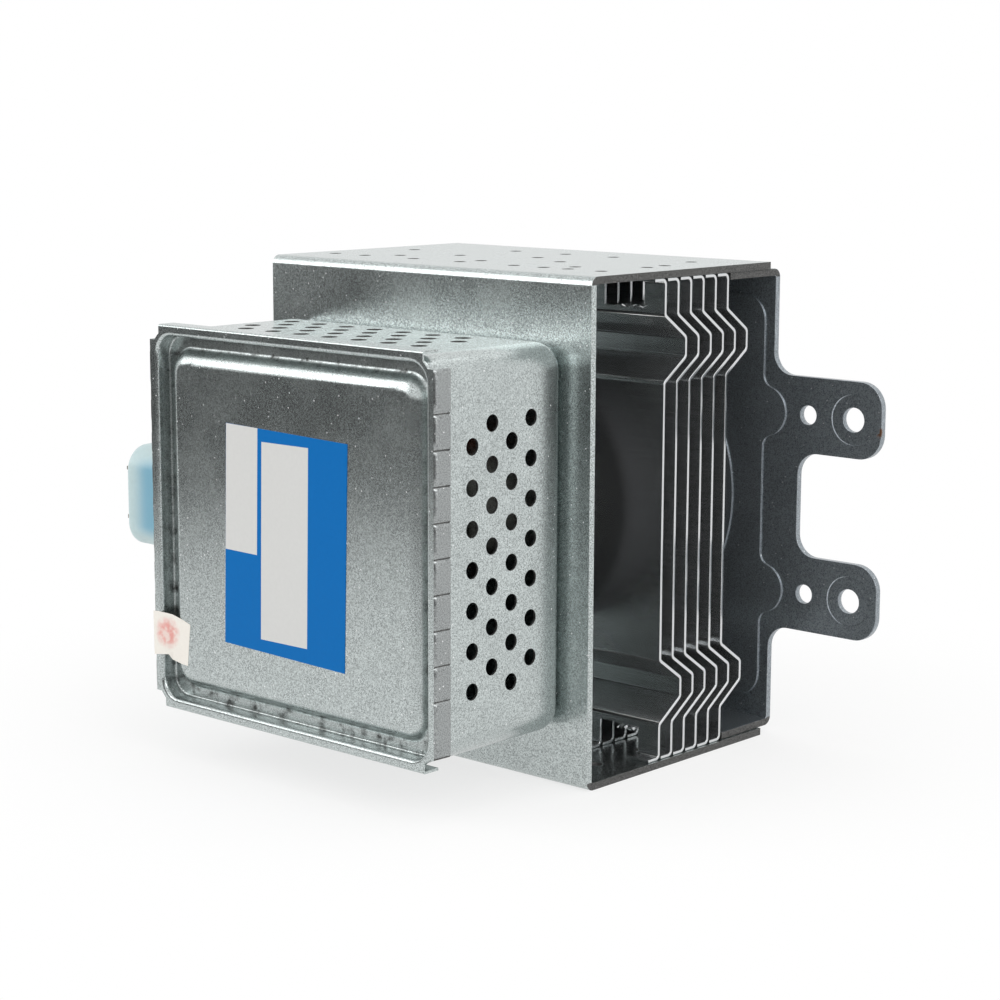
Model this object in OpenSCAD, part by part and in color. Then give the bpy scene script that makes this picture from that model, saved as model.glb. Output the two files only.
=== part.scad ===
// Microwave-oven magnetron: a vacuum tube held between two ring magnets in a folded
// steel yoke, with pressed-on cooling fins, a crimped filter box and a mounting plate.
// The origin is the middle of the mounting face, +Y runs out along the antenna, +Z is up.

/* [Yoke] */
// Width of the yoke across its open sides
yoke_w = 83.5; // [76:0.5:92]
// Height of the yoke over its two folded walls
yoke_h = 95; // [88:0.5:104]
// Sheet thickness of the yoke
yoke_t = 1.4; // [1:0.1:1.6]
// Outer radius of the yoke's bends
yoke_bend_r = 1.8; // [1.8:0.1:4]
// Distance from the mounting face to the ends of the yoke's walls
wall_setback = 4; // [2.5:0.5:8]
// Diameter of the holes punched in the yoke's walls
wall_hole_d = 2.4; // [1.5:0.1:3.5]

/* [Mounting plate] */
// Sheet thickness of the mounting plate
plate_t = 1.4; // [1:0.1:1.6]
// How far the plate's edge stands inside the yoke's edge
plate_inset = 0.5; // [0.2:0.1:2]
// Outer radius of the plate's bends
plate_bend_r = 1.8; // [1.8:0.1:3.5]
// How far the plate widens between its ears
waist_out = 6.2; // [3:0.1:7]
// Distance between the left and right bolt holes
bolt_span = 120; // [116:0.5:128]
// Distance between the upper and lower bolt holes
bolt_pitch = 35.7; // [32:0.1:40]
// Diameter of the bolt holes
bolt_d = 4.8; // [4:0.1:5.5]
// Distance from a bolt hole inwards to its pilot hole
pilot_in = 10.4; // [8:0.1:12]
// Diameter of the pilot holes
pilot_d = 3.8; // [3:0.1:4.5]
// Height of an ear
ear_h = 15; // [13:0.5:18]
// Distance from a bolt hole to the tip of its ear
ear_tip = 6.5; // [5:0.5:9]
// Corner radius at the tip of an ear
ear_r = 5; // [3:0.5:6]
// Radius of the fillets where the ears leave the plate
ear_fillet = 4.4; // [2:0.1:6]
// Diameter of the seat coined round a bolt hole
bolt_seat_d = 9.8; // [7:0.1:12]
// Depth of the seat coined round a bolt hole
bolt_seat_depth = 0.2; // [0.1:0.1:0.4]
// Depth of the pressed panel
panel_d = 0.4; // [0.2:0.1:0.8]
// Width of the plain border left round the pressed panel
panel_border = 2.2; // [1.5:0.1:5]
// Corner radius of the pressed panel
panel_r = 5; // [2:0.5:8]
// Radius of the fillets beside the pressed panel's lobes
panel_fillet = 2.5; // [1:0.1:4]
// Diameter of the round magnet seat
seat_dia = 64.4; // [58:0.2:70]
// Depth of the round magnet seat below the panel
seat_d = 0.4; // [0.2:0.1:0.8]

/* [Magnets] */
// Outer diameter of a ring magnet
magnet_od = 54; // [48:0.5:57]
// Bore of a ring magnet
magnet_id = 21; // [20:0.5:26]
// Thickness of a ring magnet
magnet_t = 12.7; // [10:0.1:16]
// Edge chamfer of a ring magnet
magnet_chamfer = 0.8; // [0.2:0.1:1.5]

/* [Cooling fins] */
// Number of fins
fin_count = 6; // [6]
// Sheet thickness of a fin
fin_t = 0.6; // [0.4:0.1:0.8]
// How far a fin's end stands inside the yoke's edge
fin_inset = 0.5; // [0.2:0.1:2]
// Length of anode left bare on the input side
fin_lead = 5.8; // [4:0.1:9]
// Depth of the corrugation
fin_jog = 6.4; // [3:0.1:8]
// Height of the straight leg next to the foot
fin_leg = 6.6; // [6.5:0.1:9]
// Height of each sloping stretch
fin_slope = 4.4; // [3:0.1:6]
// Height of the offset stretch between the slopes
fin_crest = 3.8; // [2:0.1:6]
// Bend radius at the middle of the sheet
fin_bend_r = 0.9; // [0.6:0.1:1.5]
// Length of the foot that lies along the yoke's wall
fin_foot = 3.2; // [2:0.1:3.4]
// Width of the end tab
fin_tab = 4.9; // [3:0.1:8]
// Width of the notch beside the end tab
fin_notch_w = 9.5; // [5:0.1:14]
// Height of the notch
fin_notch_h = 5.6; // [3:0.1:6.2]

/* [Vacuum tube] */
// Outer diameter of the anode
anode_od = 39; // [36:0.5:42]
// Wall of the anode
anode_wall = 1.8; // [1.2:0.1:2.5]
// Length of the anode
anode_len = 25.6; // [24:0.1:34]
// Number of vanes
vane_count = 10; // [10]
// Thickness of a vane
vane_t = 1.9; // [1.4:0.1:2.2]
// Height of a vane along the axis
vane_h = 9.5; // [8:0.1:10.5]
// Radius at the tips of the vanes
vane_tip_r = 4.5; // [4.2:0.1:5]
// Radius of the inner strap at its middle
strap_r_in = 7.6; // [7:0.1:8]
// Radius of the outer strap at its middle
strap_r_out = 9.4; // [9:0.1:11]
// Width of a strap
strap_w = 0.7; // [0.5:0.1:0.9]
// Height of a strap
strap_h = 1.1; // [0.8:0.1:1.5]
// Thickness of a pole piece
pole_t = 1.5; // [1.2:0.1:2]
// Depth of a pole piece's cone
pole_depth = 6.6; // [5:0.1:7]
// Radius of a pole piece's mouth
pole_mouth_r = 4.7; // [4.5:0.1:5.5]
// Sheet thickness of the seal cups
seal_t = 0.4; // [0.3:0.1:0.6]
// Outer diameter of the seal cups' flanges
seal_flange_d = 36; // [32:0.5:38]
// Outer diameter of the seal cups' tubes
seal_tube_d = 18.4; // [17:0.1:19]
// How far the input seal reaches past the yoke
input_reach = 5.5; // [4:0.1:9]
// Length of the stem ceramic
stem_len = 12; // [9:0.5:14]
// Diameter of the stem pins
stem_pin_d = 1.8; // [1.2:0.1:2.4]
// Distance between the stem pins
stem_pin_gap = 9; // [7:0.5:11]
// How far the stem pins stand out of the ceramic
stem_pin_out = 5; // [4:0.5:6]
// Diameter of the cathode's coil at its wire's middle
filament_d = 3.4; // [3:0.1:3.8]
// Diameter of the filament wire
filament_wire = 0.5; // [0.4:0.1:0.6]
// Number of turns in the filament
filament_turns = 8; // [6:1:9]
// Diameter of the end hats
hat_d = 7.2; // [6.4:0.1:8]
// Thickness of the end hats
hat_t = 1.1; // [0.8:0.1:1.4]
// Diameter of the cathode's support rods
rod_d = 1.2; // [0.8:0.1:1.4]
// Offset of the side rod from the axis
side_rod_x = 2.7; // [2.5:0.1:3]

/* [Antenna] */
// How far the output seal reaches past the mounting face
output_reach = 8; // [6.5:0.1:12]
// Length of the output ceramic
output_ceramic_len = 10; // [7:0.1:13]
// Diameter of the output ceramic
output_ceramic_d = 16; // [14:0.1:17]
// Wall of the output ceramic
output_ceramic_wall = 2.2; // [1.8:0.1:2.6]
// Diameter of the antenna cap
cap_d = 15; // [14:0.1:15.6]
// Length of the antenna cap
cap_len = 11; // [9:0.1:16]
// Wall of the antenna cap
cap_t = 0.5; // [0.3:0.1:0.8]
// Diameter of the exhaust tube
exhaust_d = 6.4; // [5:0.1:8]
// Diameter of the antenna lead
lead_d = 2.2; // [1.6:0.1:2.6]
// Outer diameter of the mesh gasket
gasket_od = 31; // [28:0.5:36]
// Thickness of the mesh gasket
gasket_t = 6.5; // [5:0.1:9]

/* [Filter box] */
// Width of the filter box
box_w = 72.8; // [64:0.2:76]
// Height of the filter box
box_h = 72.4; // [66:0.2:80]
// Depth of the filter box from the yoke to its lid
box_depth = 35.9; // [33:0.1:42]
// Sheet thickness of the filter box
box_t = 0.5; // [0.4:0.1:0.8]
// Corner radius of the filter box
box_r = 5; // [4.5:0.5:9]
// Radius drawn between the walls and the base
box_base_r = 3.8; // [1.2:0.1:4]
// Width of the lip round the mouth
box_lip = 0.3; // [0.2:0.1:0.3]
// Sideways place of the box on the yoke
box_x = -0.2; // [-2:0.1:2]
// Upright place of the box on the yoke
box_z = -0.7; // [-2:0.1:2]
// Diameter of the vents
vent_d = 3.1; // [2:0.1:3.6]
// Distance between vents in a row of the right wall
vent_pitch = 7.3; // [6:0.1:8]
// Distance between vents in a row of the top wall
vent_pitch_top = 7.6; // [6:0.1:8]
// Distance between rows of vents
vent_row = 5.15; // [4:0.05:6]
// Distance from the yoke to the first row of vents
vent_start = 9.8; // [5:0.1:11]
// First vent row of the top wall from the yoke
vent_start_top = 7.8; // [5:0.1:11]

/* [Filter lid] */
// Sheet thickness of the lid
lid_t = 0.5; // [0.3:0.1:0.6]
// Length of the hems turned back over the box's lip
hem_l = 3.9; // [3.5:0.1:7]
// How far the left and right hems stand out from the walls
hem_out_x = 1.2; // [1.2:0.1:2]
// How far the upper and lower hems stand out from the walls
hem_out_z = 1; // [1:0.1:2]
// Length left open at each corner between the hems
hem_relief = 3; // [2:0.1:5]
// Distance between the staking nicks in the hems
nick_pitch = 6.4; // [5:0.1:9]
// Depth of a staking nick
nick_d = 0.3; // [0.1:0.05:0.35]
// Depth of the groove below the rim
groove_d = 3.9; // [3:0.1:5]
// Width of the groove's floor
groove_w = 2.5; // [1.5:0.1:4]
// Width of the lid's groove at the left and right
groove_side_w = 2; // [1.5:0.1:4]
// Height of the raised panel above the groove
panel_rise = 2.5; // [1:0.1:2.9]
// Width of the bevel round the raised panel
panel_bevel = 1.4; // [1:0.1:4]
// Corner radius of the raised panel
panel_corner_r = 7; // [4:0.5:12]
// Radius pressed round the edge of the raised panel
panel_edge_r = 3; // [1:0.1:3]
// Radius pressed at the foot of the raised panel
panel_foot_r = 1; // [0.4:0.1:1.2]
// Radius of the folds between the lid's rim, wall and groove, at the middle of the sheet
lid_fold_r = 0.7; // [0.5:0.1:0.8]

/* [Filter parts] */
// Width of the capacitor's insulator
cap_body_w = 13; // [10:0.5:15]
// Height of the capacitor's insulator
cap_body_h = 20.4; // [18:0.2:24]
// How far the insulator stands out of the box
cap_body_out = 22.2; // [16:0.2:26]
// Corner radius of the insulator
cap_body_r = 5; // [3:0.5:5]
// How far the insulator reaches into the box
cap_body_in = 4; // [2:0.5:6]
// Thickness of the capacitor's flange
cap_flange_t = 0.8; // [0.5:0.1:1.2]
// Distance from the yoke to the capacitor's middle
cap_body_y = 18; // [15:0.5:20]
// Distance between the two supply tabs
tab_pitch = 10; // [8:0.5:11]
// Width of a supply tab
tab_w = 6.3; // [4.8:0.1:6.4]
// Thickness of a supply tab
tab_t = 0.8; // [0.5:0.1:1]
// How far the tabs stand out of the insulator
tab_out = 4.4; // [3:0.1:6]
// Diameter of a choke's coil at its wire's middle
choke_d = 6.8; // [6.4:0.1:7.2]
// Diameter of a choke's wire
choke_wire = 1.1; // [0.8:0.1:1.2]
// Number of turns in a choke
choke_turns = 9; // [6:1:10]
// Diameter of a choke's ferrite core
core_d = 5; // [4:0.1:5.2]
// Length of a choke's ferrite core
core_len = 22; // [18:0.5:24]

/* [Hidden] */
$fn = 64;
bend_steps = 5;
// Small room left between pieces that are pressed or nested together
fit = 0.05;
cut = 1;

// Places along the axis, from the mounting face at 0 towards the filter box
dish_d = panel_d + seat_d;
rear_magnet_y = -plate_t - dish_d - magnet_t;
out_seal_y = rear_magnet_y - seal_t;
out_pole_y = out_seal_y - pole_t;
anode_y = out_pole_y - anode_len;
tube_mid = anode_y + anode_len / 2;
in_pole_y = anode_y - pole_t;
in_seal_y = in_pole_y - seal_t;
front_magnet_y = in_seal_y - magnet_t;
yoke_face = front_magnet_y - yoke_t;

wall_in = yoke_h / 2 - yoke_t;
plate_half = yoke_w / 2 - plate_inset;
waist_half = plate_half + waist_out;
ear_z = bolt_pitch / 2;
bolt_x = bolt_span / 2;
pilot_x = bolt_x - pilot_in;
magnet_bore_r = magnet_id / 2;
anode_r = anode_od / 2;
anode_ri = anode_r - anode_wall;
seal_tube_r = seal_tube_d / 2;
tube_hole_r = seal_tube_r + 0.6;

fin_pitch = (anode_len - fin_lead - fin_t) / (fin_count - 1);
fin_half = yoke_w / 2 - fin_inset;
fin_top = wall_in - fit;
collar_len = fin_pitch - fin_t / 2 - fit;
flange_gap = 0.5;
flange_front = out_pole_y + flange_gap;
// Rows of wall holes: distance from the yoke's face, then the places across it
wall_hole_rows = [
    [12, [-36, -27.5, -14, -1.5, 12.5, 20, 26, 34]],
    [17, [-22.5, -0.5, 23.5]],
    [25.5, [-14, 12.5, 34]],
    [31.5, [-32.5, 1.5, 33.5]],
    [43, [-14.5, -1, 11.5, 31]]
];

box_mouth = yoke_face - box_depth;
box_half = [box_w / 2, box_h / 2];
hem_half = [box_half.x + hem_out_x, box_half.y + hem_out_z];
lid_gap = 0.1;
// The lid's pressed middle drops into the box's mouth
plug_half = [box_half.x - box_t - lid_gap, box_half.y - box_t - lid_gap];
plug_r = box_r - box_t - lid_gap;
foot_half = [plug_half.x - lid_t - groove_side_w, plug_half.y - lid_t - groove_w];
foot_r = panel_corner_r + panel_bevel;
// The hems are folded sharply, so that they clear the box's lip
hem_fold_in = 0.1;
hem_fold = lid_t + hem_fold_in;
vent_count = 7;
vent_rows = 4;
vent_top_x = -3;
vent_side_z = -0.25;
box_hole_r = seal_tube_r + 3.5;

input_end = yoke_face - input_reach;
stem_end = input_end - stem_len;
stem_r = seal_tube_r;
stem_plate_t = 0.5;
stem_plate_r = stem_r - 2.2;
stem_plate_gap = 0.8;
stem_split = -side_rod_x / 2;
hat_in = vane_h / 2 + 0.2;
rod_stop = input_end + stem_plate_t;

ceramic_end = output_reach + output_ceramic_len;
ceramic_ri = output_ceramic_d / 2 - output_ceramic_wall;
exhaust_flange_t = 0.6;
exhaust_r = exhaust_d / 2;
exhaust_wall = 0.9;
pinch_len = 3;
cap_start = ceramic_end + exhaust_flange_t;
exhaust_len = cap_len - cap_t - 1;
gasket_r = 1.6;
// The antenna lead starts on a vane outside the straps and leans on to the axis
lead_r = lead_d / 2;
lead_start_z = strap_r_out + strap_w / 2 + lead_r + 0.4;
lead_hole_z = lead_start_z - 1.3;
lead_hole_r = lead_r + 1.4;

box_left = box_x - box_w / 2;
cap_y = yoke_face - cap_body_y;
cap_flange = [cap_body_w + 3, cap_body_h + 10];
cap_rivet_z = cap_body_h / 2 + 2.6;
cap_rivet_r = 1.3;
cap_end = box_left - cap_body_out;
tab_in = 5;
tab_pin_d = 1.6;
tab_pin_in = 3;
choke_pitch = 1.9;
choke_lead = 3;
choke_rounds = choke_turns + 0.5;
choke_end = -stem_pin_d / 2 - choke_wire / 2 - fit;
choke_start = choke_end - choke_rounds * choke_pitch;
choke_y = stem_end - choke_d / 2 - choke_wire / 2 - 0.6;
choke_z = stem_pin_gap / 2 + choke_d / 2 + choke_wire;

steel = "#9aa09e";
dark_steel = "#5c646b";
aluminium = "#c9ccce";
copper = "#b87048";
ferrite = "#2a2a2c";
alumina = "#efe9e2";
tungsten = "#6e6a68";
nickel = "#b4b2ac";

// Turns a profile drawn in Y and Z into a sheet of width w across X
module across_x(w) {
    translate([-w / 2, 0, 0]) rotate([90, 0, 90]) linear_extrude(w) children();
}

// Turns an outline drawn in X and Z into a plate that starts at y and goes t along +Y
module along_y(y, t) {
    translate([0, y + t, 0]) rotate([90, 0, 0]) linear_extrude(t) children();
}

// Turns a profile of radius and height about the Y axis, from y along +Y
module spin(y) {
    translate([0, y, 0]) rotate([-90, 0, 0]) rotate_extrude() children();
}

// Drills along Y from y over a length
module bore(x, z, y, len, r) {
    translate([x, y, z]) rotate([-90, 0, 0]) cylinder(r = r, h = len);
}

// Rectangle with round corners about the origin
module round_rect(half, r) {
    square([2 * half.x, 2 * (half.y - r)], center = true);
    square([2 * (half.x - r), 2 * half.y], center = true);
    for (sx = [-1, 1], sz = [-1, 1])
        translate([sx * (half.x - r), sz * (half.y - r)]) circle(r);
}

// Rectangle from 0 along +X whose two corners at 0 are round
module round_start(len, h, r) {
    translate([r, -h / 2]) square([len - r, h]);
    translate([0, r - h / 2]) square([len, h - 2 * r]);
    for (s = [-1, 1])
        translate([r, s * (h / 2 - r)]) circle(r);
}

// Folded channel profile of sheet t, with its web at 0
module channel(len, h, t, r) {
    difference() {
        round_start(len, h, r);
        translate([t, 0]) round_start(len, h - 2 * t, r - t);
    }
}

function unit(v) = v / norm(v);
function left_of(v) = [-v.y, v.x];
function turn(a, b, c) = cross(b - a, c - b);

// A path moved sideways by d, with mitred corners
function shifted(path, d) = [
    for (i = [0 : len(path) - 1])
        let (
            last = len(path) - 1,
            before = left_of(unit(path[max(i, 1)] - path[max(i, 1) - 1])),
            after = left_of(unit(path[min(i + 1, last)] - path[min(i + 1, last) - 1])),
            middle = unit(before + after)
        )
        path[i] + middle * d / (middle * before)
];

// The points of an arc of radius r that rounds the corner b
function corner(a, b, c, r) =
    let (
        to_a = unit(a - b),
        to_c = unit(c - b),
        half = acos(to_a * to_c) / 2,
        middle = b + unit(to_a + to_c) * r / sin(half),
        first = b + to_a * r / tan(half) - middle,
        sweep = (180 - 2 * half) * sign(turn(a, b, c)),
        start = atan2(first.y, first.x)
    )
    [for (k = [0 : bend_steps])
        middle + r * [cos(start + sweep * k / bend_steps), sin(start + sweep * k / bend_steps)]];

// A path with its corners rounded, where left turns take one radius and right turns the other
function rounded(path, r_left, r_right) = [
    path[0],
    for (i = [1 : len(path) - 2])
        each corner(path[i - 1], path[i], path[i + 1],
            turn(path[i - 1], path[i], path[i + 1]) > 0 ? r_left : r_right),
    path[len(path) - 1]
];

function reversed(list) = [for (i = [len(list) - 1 : -1 : 0]) list[i]];

// Bent strip of sheet t that follows a path with bends of radius r
module strip(path, t, r) {
    polygon(concat(
        rounded(shifted(path, t / 2), r - t / 2, r + t / 2),
        reversed(rounded(shifted(path, -t / 2), r + t / 2, r - t / 2))
    ));
}

// Round wire of radius r swept along points, with the given number of sides
module wire(points, r, sides) {
    count = len(points);
    directions = [for (i = [0 : count - 1])
        unit(points[min(i + 1, count - 1)] - points[max(i - 1, 0)])];
    rings = [for (i = [0 : count - 1])
        let (
            d = directions[i],
            guide = abs(d.x) < 0.9 ? [1, 0, 0] : [0, 0, 1],
            u = unit(cross(d, guide)),
            v = cross(d, u)
        )
        [for (k = [0 : sides - 1])
            points[i] + r * (u * cos(360 * k / sides) + v * sin(360 * k / sides))]];
    skin = [for (i = [0 : count - 2], k = [0 : sides - 1])
        let (n = (k + 1) % sides, a = i * sides, b = a + sides)
        each [[a + k, a + n, b + n], [a + k, b + n, b + k]]];
    start_face = [[for (k = [sides - 1 : -1 : 0]) k]];
    end_face = [[for (k = [0 : sides - 1]) (count - 1) * sides + k]];
    polyhedron([for (ring = rings) each ring], concat(skin, start_face, end_face), convexity = 10);
}

// Holes through both walls of the yoke
module wall_holes() {
    for (row = wall_hole_rows, x = row[1])
        translate([x, yoke_face + row[0], -yoke_h / 2 - cut])
            cylinder(d = wall_hole_d, h = yoke_h + 2 * cut);
}

// Steel channel that closes the magnetic path round the tube
module yoke_frame() {
    color(steel) difference() {
        translate([0, yoke_face, 0])
            across_x(yoke_w) channel(-yoke_face - wall_setback, yoke_h, yoke_t, yoke_bend_r);
        bore(0, 0, yoke_face - cut, yoke_t + 2 * cut, tube_hole_r);
        wall_holes();
    }
}

// One ear with its fillets, on the right above the axis
module ear_outline() {
    translate([bolt_x + ear_tip - ear_r, ear_z]) {
        for (s = [-1, 1])
            translate([0, s * (ear_h / 2 - ear_r)]) circle(ear_r);
        translate([0, ear_r - ear_h / 2]) square([ear_r, ear_h - 2 * ear_r]);
    }
    translate([0, ear_z - ear_h / 2]) square([bolt_x + ear_tip - ear_r, ear_h]);
    difference() {
        translate([plate_half - cut, ear_z + ear_h / 2 - cut])
            square(ear_fillet + cut);
        translate([plate_half + ear_fillet, ear_z + ear_h / 2 + ear_fillet]) circle(ear_fillet);
    }
    difference() {
        translate([waist_half - cut, ear_z - ear_h / 2 - ear_fillet])
            square(ear_fillet + cut);
        translate([waist_half + ear_fillet, ear_z - ear_h / 2 - ear_fillet]) circle(ear_fillet);
    }
}

module ears_outline() {
    for (sx = [0, 1], sz = [0, 1])
        mirror([sx, 0]) mirror([0, sz]) ear_outline();
    square([2 * waist_half, bolt_pitch], center = true);
}

// Lobe that leaves the pressed panel's edge at edge_x, with a fillet above and below it
module panel_lobe(edge_x) {
    lobe_x = edge_x + 0.4;
    fillet_x = edge_x + panel_fillet;
    fillet_z = sqrt(pow(panel_r + panel_fillet, 2) - pow(fillet_x - lobe_x, 2));
    translate([lobe_x, 0]) circle(panel_r);
    for (s = [0, 1])
        mirror([0, s]) difference() {
            polygon([[edge_x - cut, 0], [lobe_x, 0], [fillet_x, fillet_z], [edge_x - cut, fillet_z]]);
            translate([fillet_x, fillet_z]) circle(panel_fillet);
        }
}

// Pressed panel with a lobe towards each pilot hole
module panel_outline() {
    half_x = plate_half - panel_border;
    round_rect([half_x, wall_in - panel_border - plate_bend_r - plate_t], panel_r);
    for (sx = [0, 1], sz = [-1, 1])
        mirror([sx, 0]) translate([0, sz * ear_z]) panel_lobe(half_x);
}

// Folded plate that carries the ears and closes the yoke on the antenna side
module mounting_plate() {
    flange_len = -flange_front;
    panel_back = -plate_t - panel_d;
    dish_back = panel_back - seat_d;
    color(dark_steel) difference() {
        union() {
            rotate([0, 0, 180]) across_x(2 * plate_half)
                channel(flange_len, 2 * (wall_in - fit), plate_t, plate_bend_r);
            along_y(-plate_t, plate_t) ears_outline();
            along_y(panel_back, plate_t) panel_outline();
            bore(0, 0, dish_back, plate_t, seat_dia / 2);
        }
        along_y(-panel_d, panel_d + cut) panel_outline();
        bore(0, 0, -dish_d, dish_d + cut, seat_dia / 2);
        bore(0, 0, dish_back - cut, plate_t + dish_d + 2 * cut, tube_hole_r);
        for (sx = [-1, 1], sz = [-1, 1]) {
            bore(sx * bolt_x, sz * ear_z, -plate_t - cut, cut + bolt_seat_depth, bolt_seat_d / 2);
            bore(sx * bolt_x, sz * ear_z, -plate_t - cut, plate_t + 2 * cut, bolt_d / 2);
            bore(sx * pilot_x, sz * ear_z, -plate_t - cut, plate_t + 2 * cut, pilot_d / 2);
        }
    }
}

module ring_magnet(y) {
    r = magnet_od / 2;
    c = magnet_chamfer;
    color(ferrite) spin(y) polygon([
        [magnet_bore_r, 0], [r - c, 0], [r, c], [r, magnet_t - c],
        [r - c, magnet_t], [magnet_bore_r, magnet_t]
    ]);
}

module front_magnet() {
    ring_magnet(front_magnet_y);
}

module rear_magnet() {
    ring_magnet(rear_magnet_y);
}

// Fin profile from the upper foot down to the lower one, about the fin's own plane
function fin_path() =
    let (
        foot_z = fin_top - fin_t / 2,
        leg_z = foot_z - fin_leg,
        crest_z = leg_z - fin_slope,
        back_z = crest_z - fin_crest,
        flat_z = back_z - fin_slope,
        upper = [[-fin_foot, foot_z], [0, foot_z], [0, leg_z], [fin_jog, crest_z],
            [fin_jog, back_z], [0, flat_z]]
    )
    concat(upper, reversed([for (p = upper) [p.x, -p.y]]));

// Corrugated sheet with a collar pressed on to the anode and feet on the yoke's walls
module cooling_fin(number) {
    y = out_pole_y - fin_t / 2 - (fin_count - number) * fin_pitch;
    notch_x = fin_half - fin_tab - fin_notch_w;
    color(aluminium) difference() {
        union() {
            translate([0, y, 0]) across_x(2 * fin_half) strip(fin_path(), fin_t, fin_bend_r);
            bore(0, 0, y - collar_len, collar_len, anode_r + fit + fin_t);
        }
        bore(0, 0, y - collar_len - cut, collar_len + 2 * cut, anode_r + fit);
        for (sx = [-1, 1], sz = [-1, 1])
            translate([
                sx * (notch_x + fin_notch_w / 2),
                y,
                sz * (fin_top - fin_notch_h / 2 + cut / 2)
            ])
                cube([fin_notch_w, 2 * fin_foot + 2 * cut, fin_notch_h + cut], center = true);
    }
}

module cooling_fin_1() { cooling_fin(1); }
module cooling_fin_2() { cooling_fin(2); }
module cooling_fin_3() { cooling_fin(3); }
module cooling_fin_4() { cooling_fin(4); }
module cooling_fin_5() { cooling_fin(5); }
module cooling_fin_6() { cooling_fin(6); }

module anode_cylinder() {
    color(copper) spin(anode_y) translate([anode_ri, 0]) square([anode_wall, anode_len]);
}

// Ring-shaped room for a strap at both ends of a vane
module strap_room(r, depth, side_gap) {
    for (s = [-1, 1])
        spin(tube_mid + (s > 0 ? vane_h / 2 - depth : -vane_h / 2 - cut))
            translate([r - strap_w / 2 - side_gap, 0])
                square([strap_w + 2 * side_gap, depth + cut]);
}

// Vanes that divide the anode into cavities, tied in turn to one strap or the other
module anode_vanes() {
    clear = 0.45;
    color(copper) for (i = [0 : vane_count - 1]) {
        joined_r = i % 2 == 0 ? strap_r_in : strap_r_out;
        passed_r = i % 2 == 0 ? strap_r_out : strap_r_in;
        difference() {
            intersection() {
                rotate([0, 90 + 360 * i / vane_count, 0])
                    translate([vane_tip_r, tube_mid - vane_h / 2, -vane_t / 2])
                        cube([anode_r - vane_tip_r, vane_h, vane_t]);
                bore(0, 0, tube_mid - vane_h, 2 * vane_h, anode_ri - fit);
            }
            strap_room(joined_r, strap_h, fit);
            strap_room(passed_r, strap_h + clear, clear);
        }
    }
}

module strap_pair(r) {
    color(copper) for (y = [tube_mid - vane_h / 2, tube_mid + vane_h / 2 - strap_h])
        spin(y) translate([r - strap_w / 2, 0]) square([strap_w, strap_h]);
}

module inner_straps() {
    strap_pair(strap_r_in);
}

module outer_straps() {
    strap_pair(strap_r_out);
}

// Dished steel disc whose cone leads the field to the cathode, drawn from its flange inwards
module pole_piece_profile() {
    cone_out = anode_ri - 3;
    cone_in = pole_mouth_r + 3.2;
    polygon([
        [anode_r, 0], [anode_r, pole_t], [cone_out, pole_t],
        [cone_in, pole_t + pole_depth], [pole_mouth_r, pole_t + pole_depth],
        [pole_mouth_r, pole_depth], [cone_in - 0.6, pole_depth], [cone_out - 1.2, 0]
    ]);
}

module input_pole_piece() {
    color(steel) spin(in_pole_y) pole_piece_profile();
}

module output_pole_piece() {
    color(steel) difference() {
        mirror([0, 1, 0]) spin(-out_pole_y - pole_t) pole_piece_profile();
        bore(0, lead_hole_z, out_pole_y - pole_depth - cut, pole_depth + pole_t + 2 * cut, lead_hole_r);
    }
}

// Drawn cup: a flange clamped under the magnet and a tube through its bore
module seal_cup_profile(len) {
    ri = seal_tube_r - seal_t;
    polygon([
        [ri, 0], [seal_flange_d / 2, 0], [seal_flange_d / 2, seal_t],
        [seal_tube_r, seal_t], [seal_tube_r, len], [ri, len]
    ]);
}

module input_seal_cup() {
    color(nickel) mirror([0, 1, 0]) spin(-in_pole_y) seal_cup_profile(in_pole_y - input_end);
}

module output_seal_cup() {
    color(nickel) spin(out_seal_y) seal_cup_profile(output_reach - out_seal_y);
}

// Helical wire cathode between the two end hats
module cathode_filament() {
    steps = 12;
    span = 2 * hat_in - filament_wire - 2 * fit;
    turns = filament_turns;
    color(tungsten) wire([for (i = [0 : turns * steps])
        let (a = 360 * i / steps)
        [filament_d / 2 * cos(a), tube_mid - span / 2 + span * i / (turns * steps),
            filament_d / 2 * sin(a)]],
        filament_wire / 2, 6);
}

module upper_end_hat() {
    color(tungsten) bore(0, 0, tube_mid + hat_in, hat_t, hat_d / 2);
}

// The lower hat lets the centre rod pass through it
module lower_end_hat() {
    color(tungsten) difference() {
        bore(0, 0, tube_mid - hat_in - hat_t, hat_t, hat_d / 2);
        bore(0, 0, tube_mid - hat_in - hat_t - cut, hat_t + 2 * cut, rod_d / 2 + 0.4);
    }
}

module centre_rod() {
    color(tungsten) bore(0, 0, rod_stop, tube_mid + hat_in - rod_stop, rod_d / 2);
}

module side_rod() {
    color(tungsten)
        bore(0, -side_rod_x, rod_stop, tube_mid - hat_in - hat_t - rod_stop, rod_d / 2);
}

module stem_ceramic() {
    color(alumina) difference() {
        bore(0, 0, stem_end, stem_len, stem_r);
        for (s = [-1, 1])
            bore(0, s * stem_pin_gap / 2, stem_end - cut, stem_len + 2 * cut, stem_pin_d / 2 + fit);
    }
}

// Pin through the ceramic with a half-round plate that takes one support rod
module stem_pin(s) {
    edge = stem_split + s * stem_plate_gap / 2;
    color(nickel) {
        intersection() {
            bore(0, 0, input_end, stem_plate_t, stem_plate_r);
            translate([0, input_end, edge + s * stem_r])
                cube(2 * stem_r, center = true);
        }
        bore(0, s * stem_pin_gap / 2, stem_end - stem_pin_out,
            stem_len + stem_pin_out + stem_plate_t, stem_pin_d / 2);
    }
}

module upper_stem_pin() {
    stem_pin(1);
}

module lower_stem_pin() {
    stem_pin(-1);
}

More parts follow.
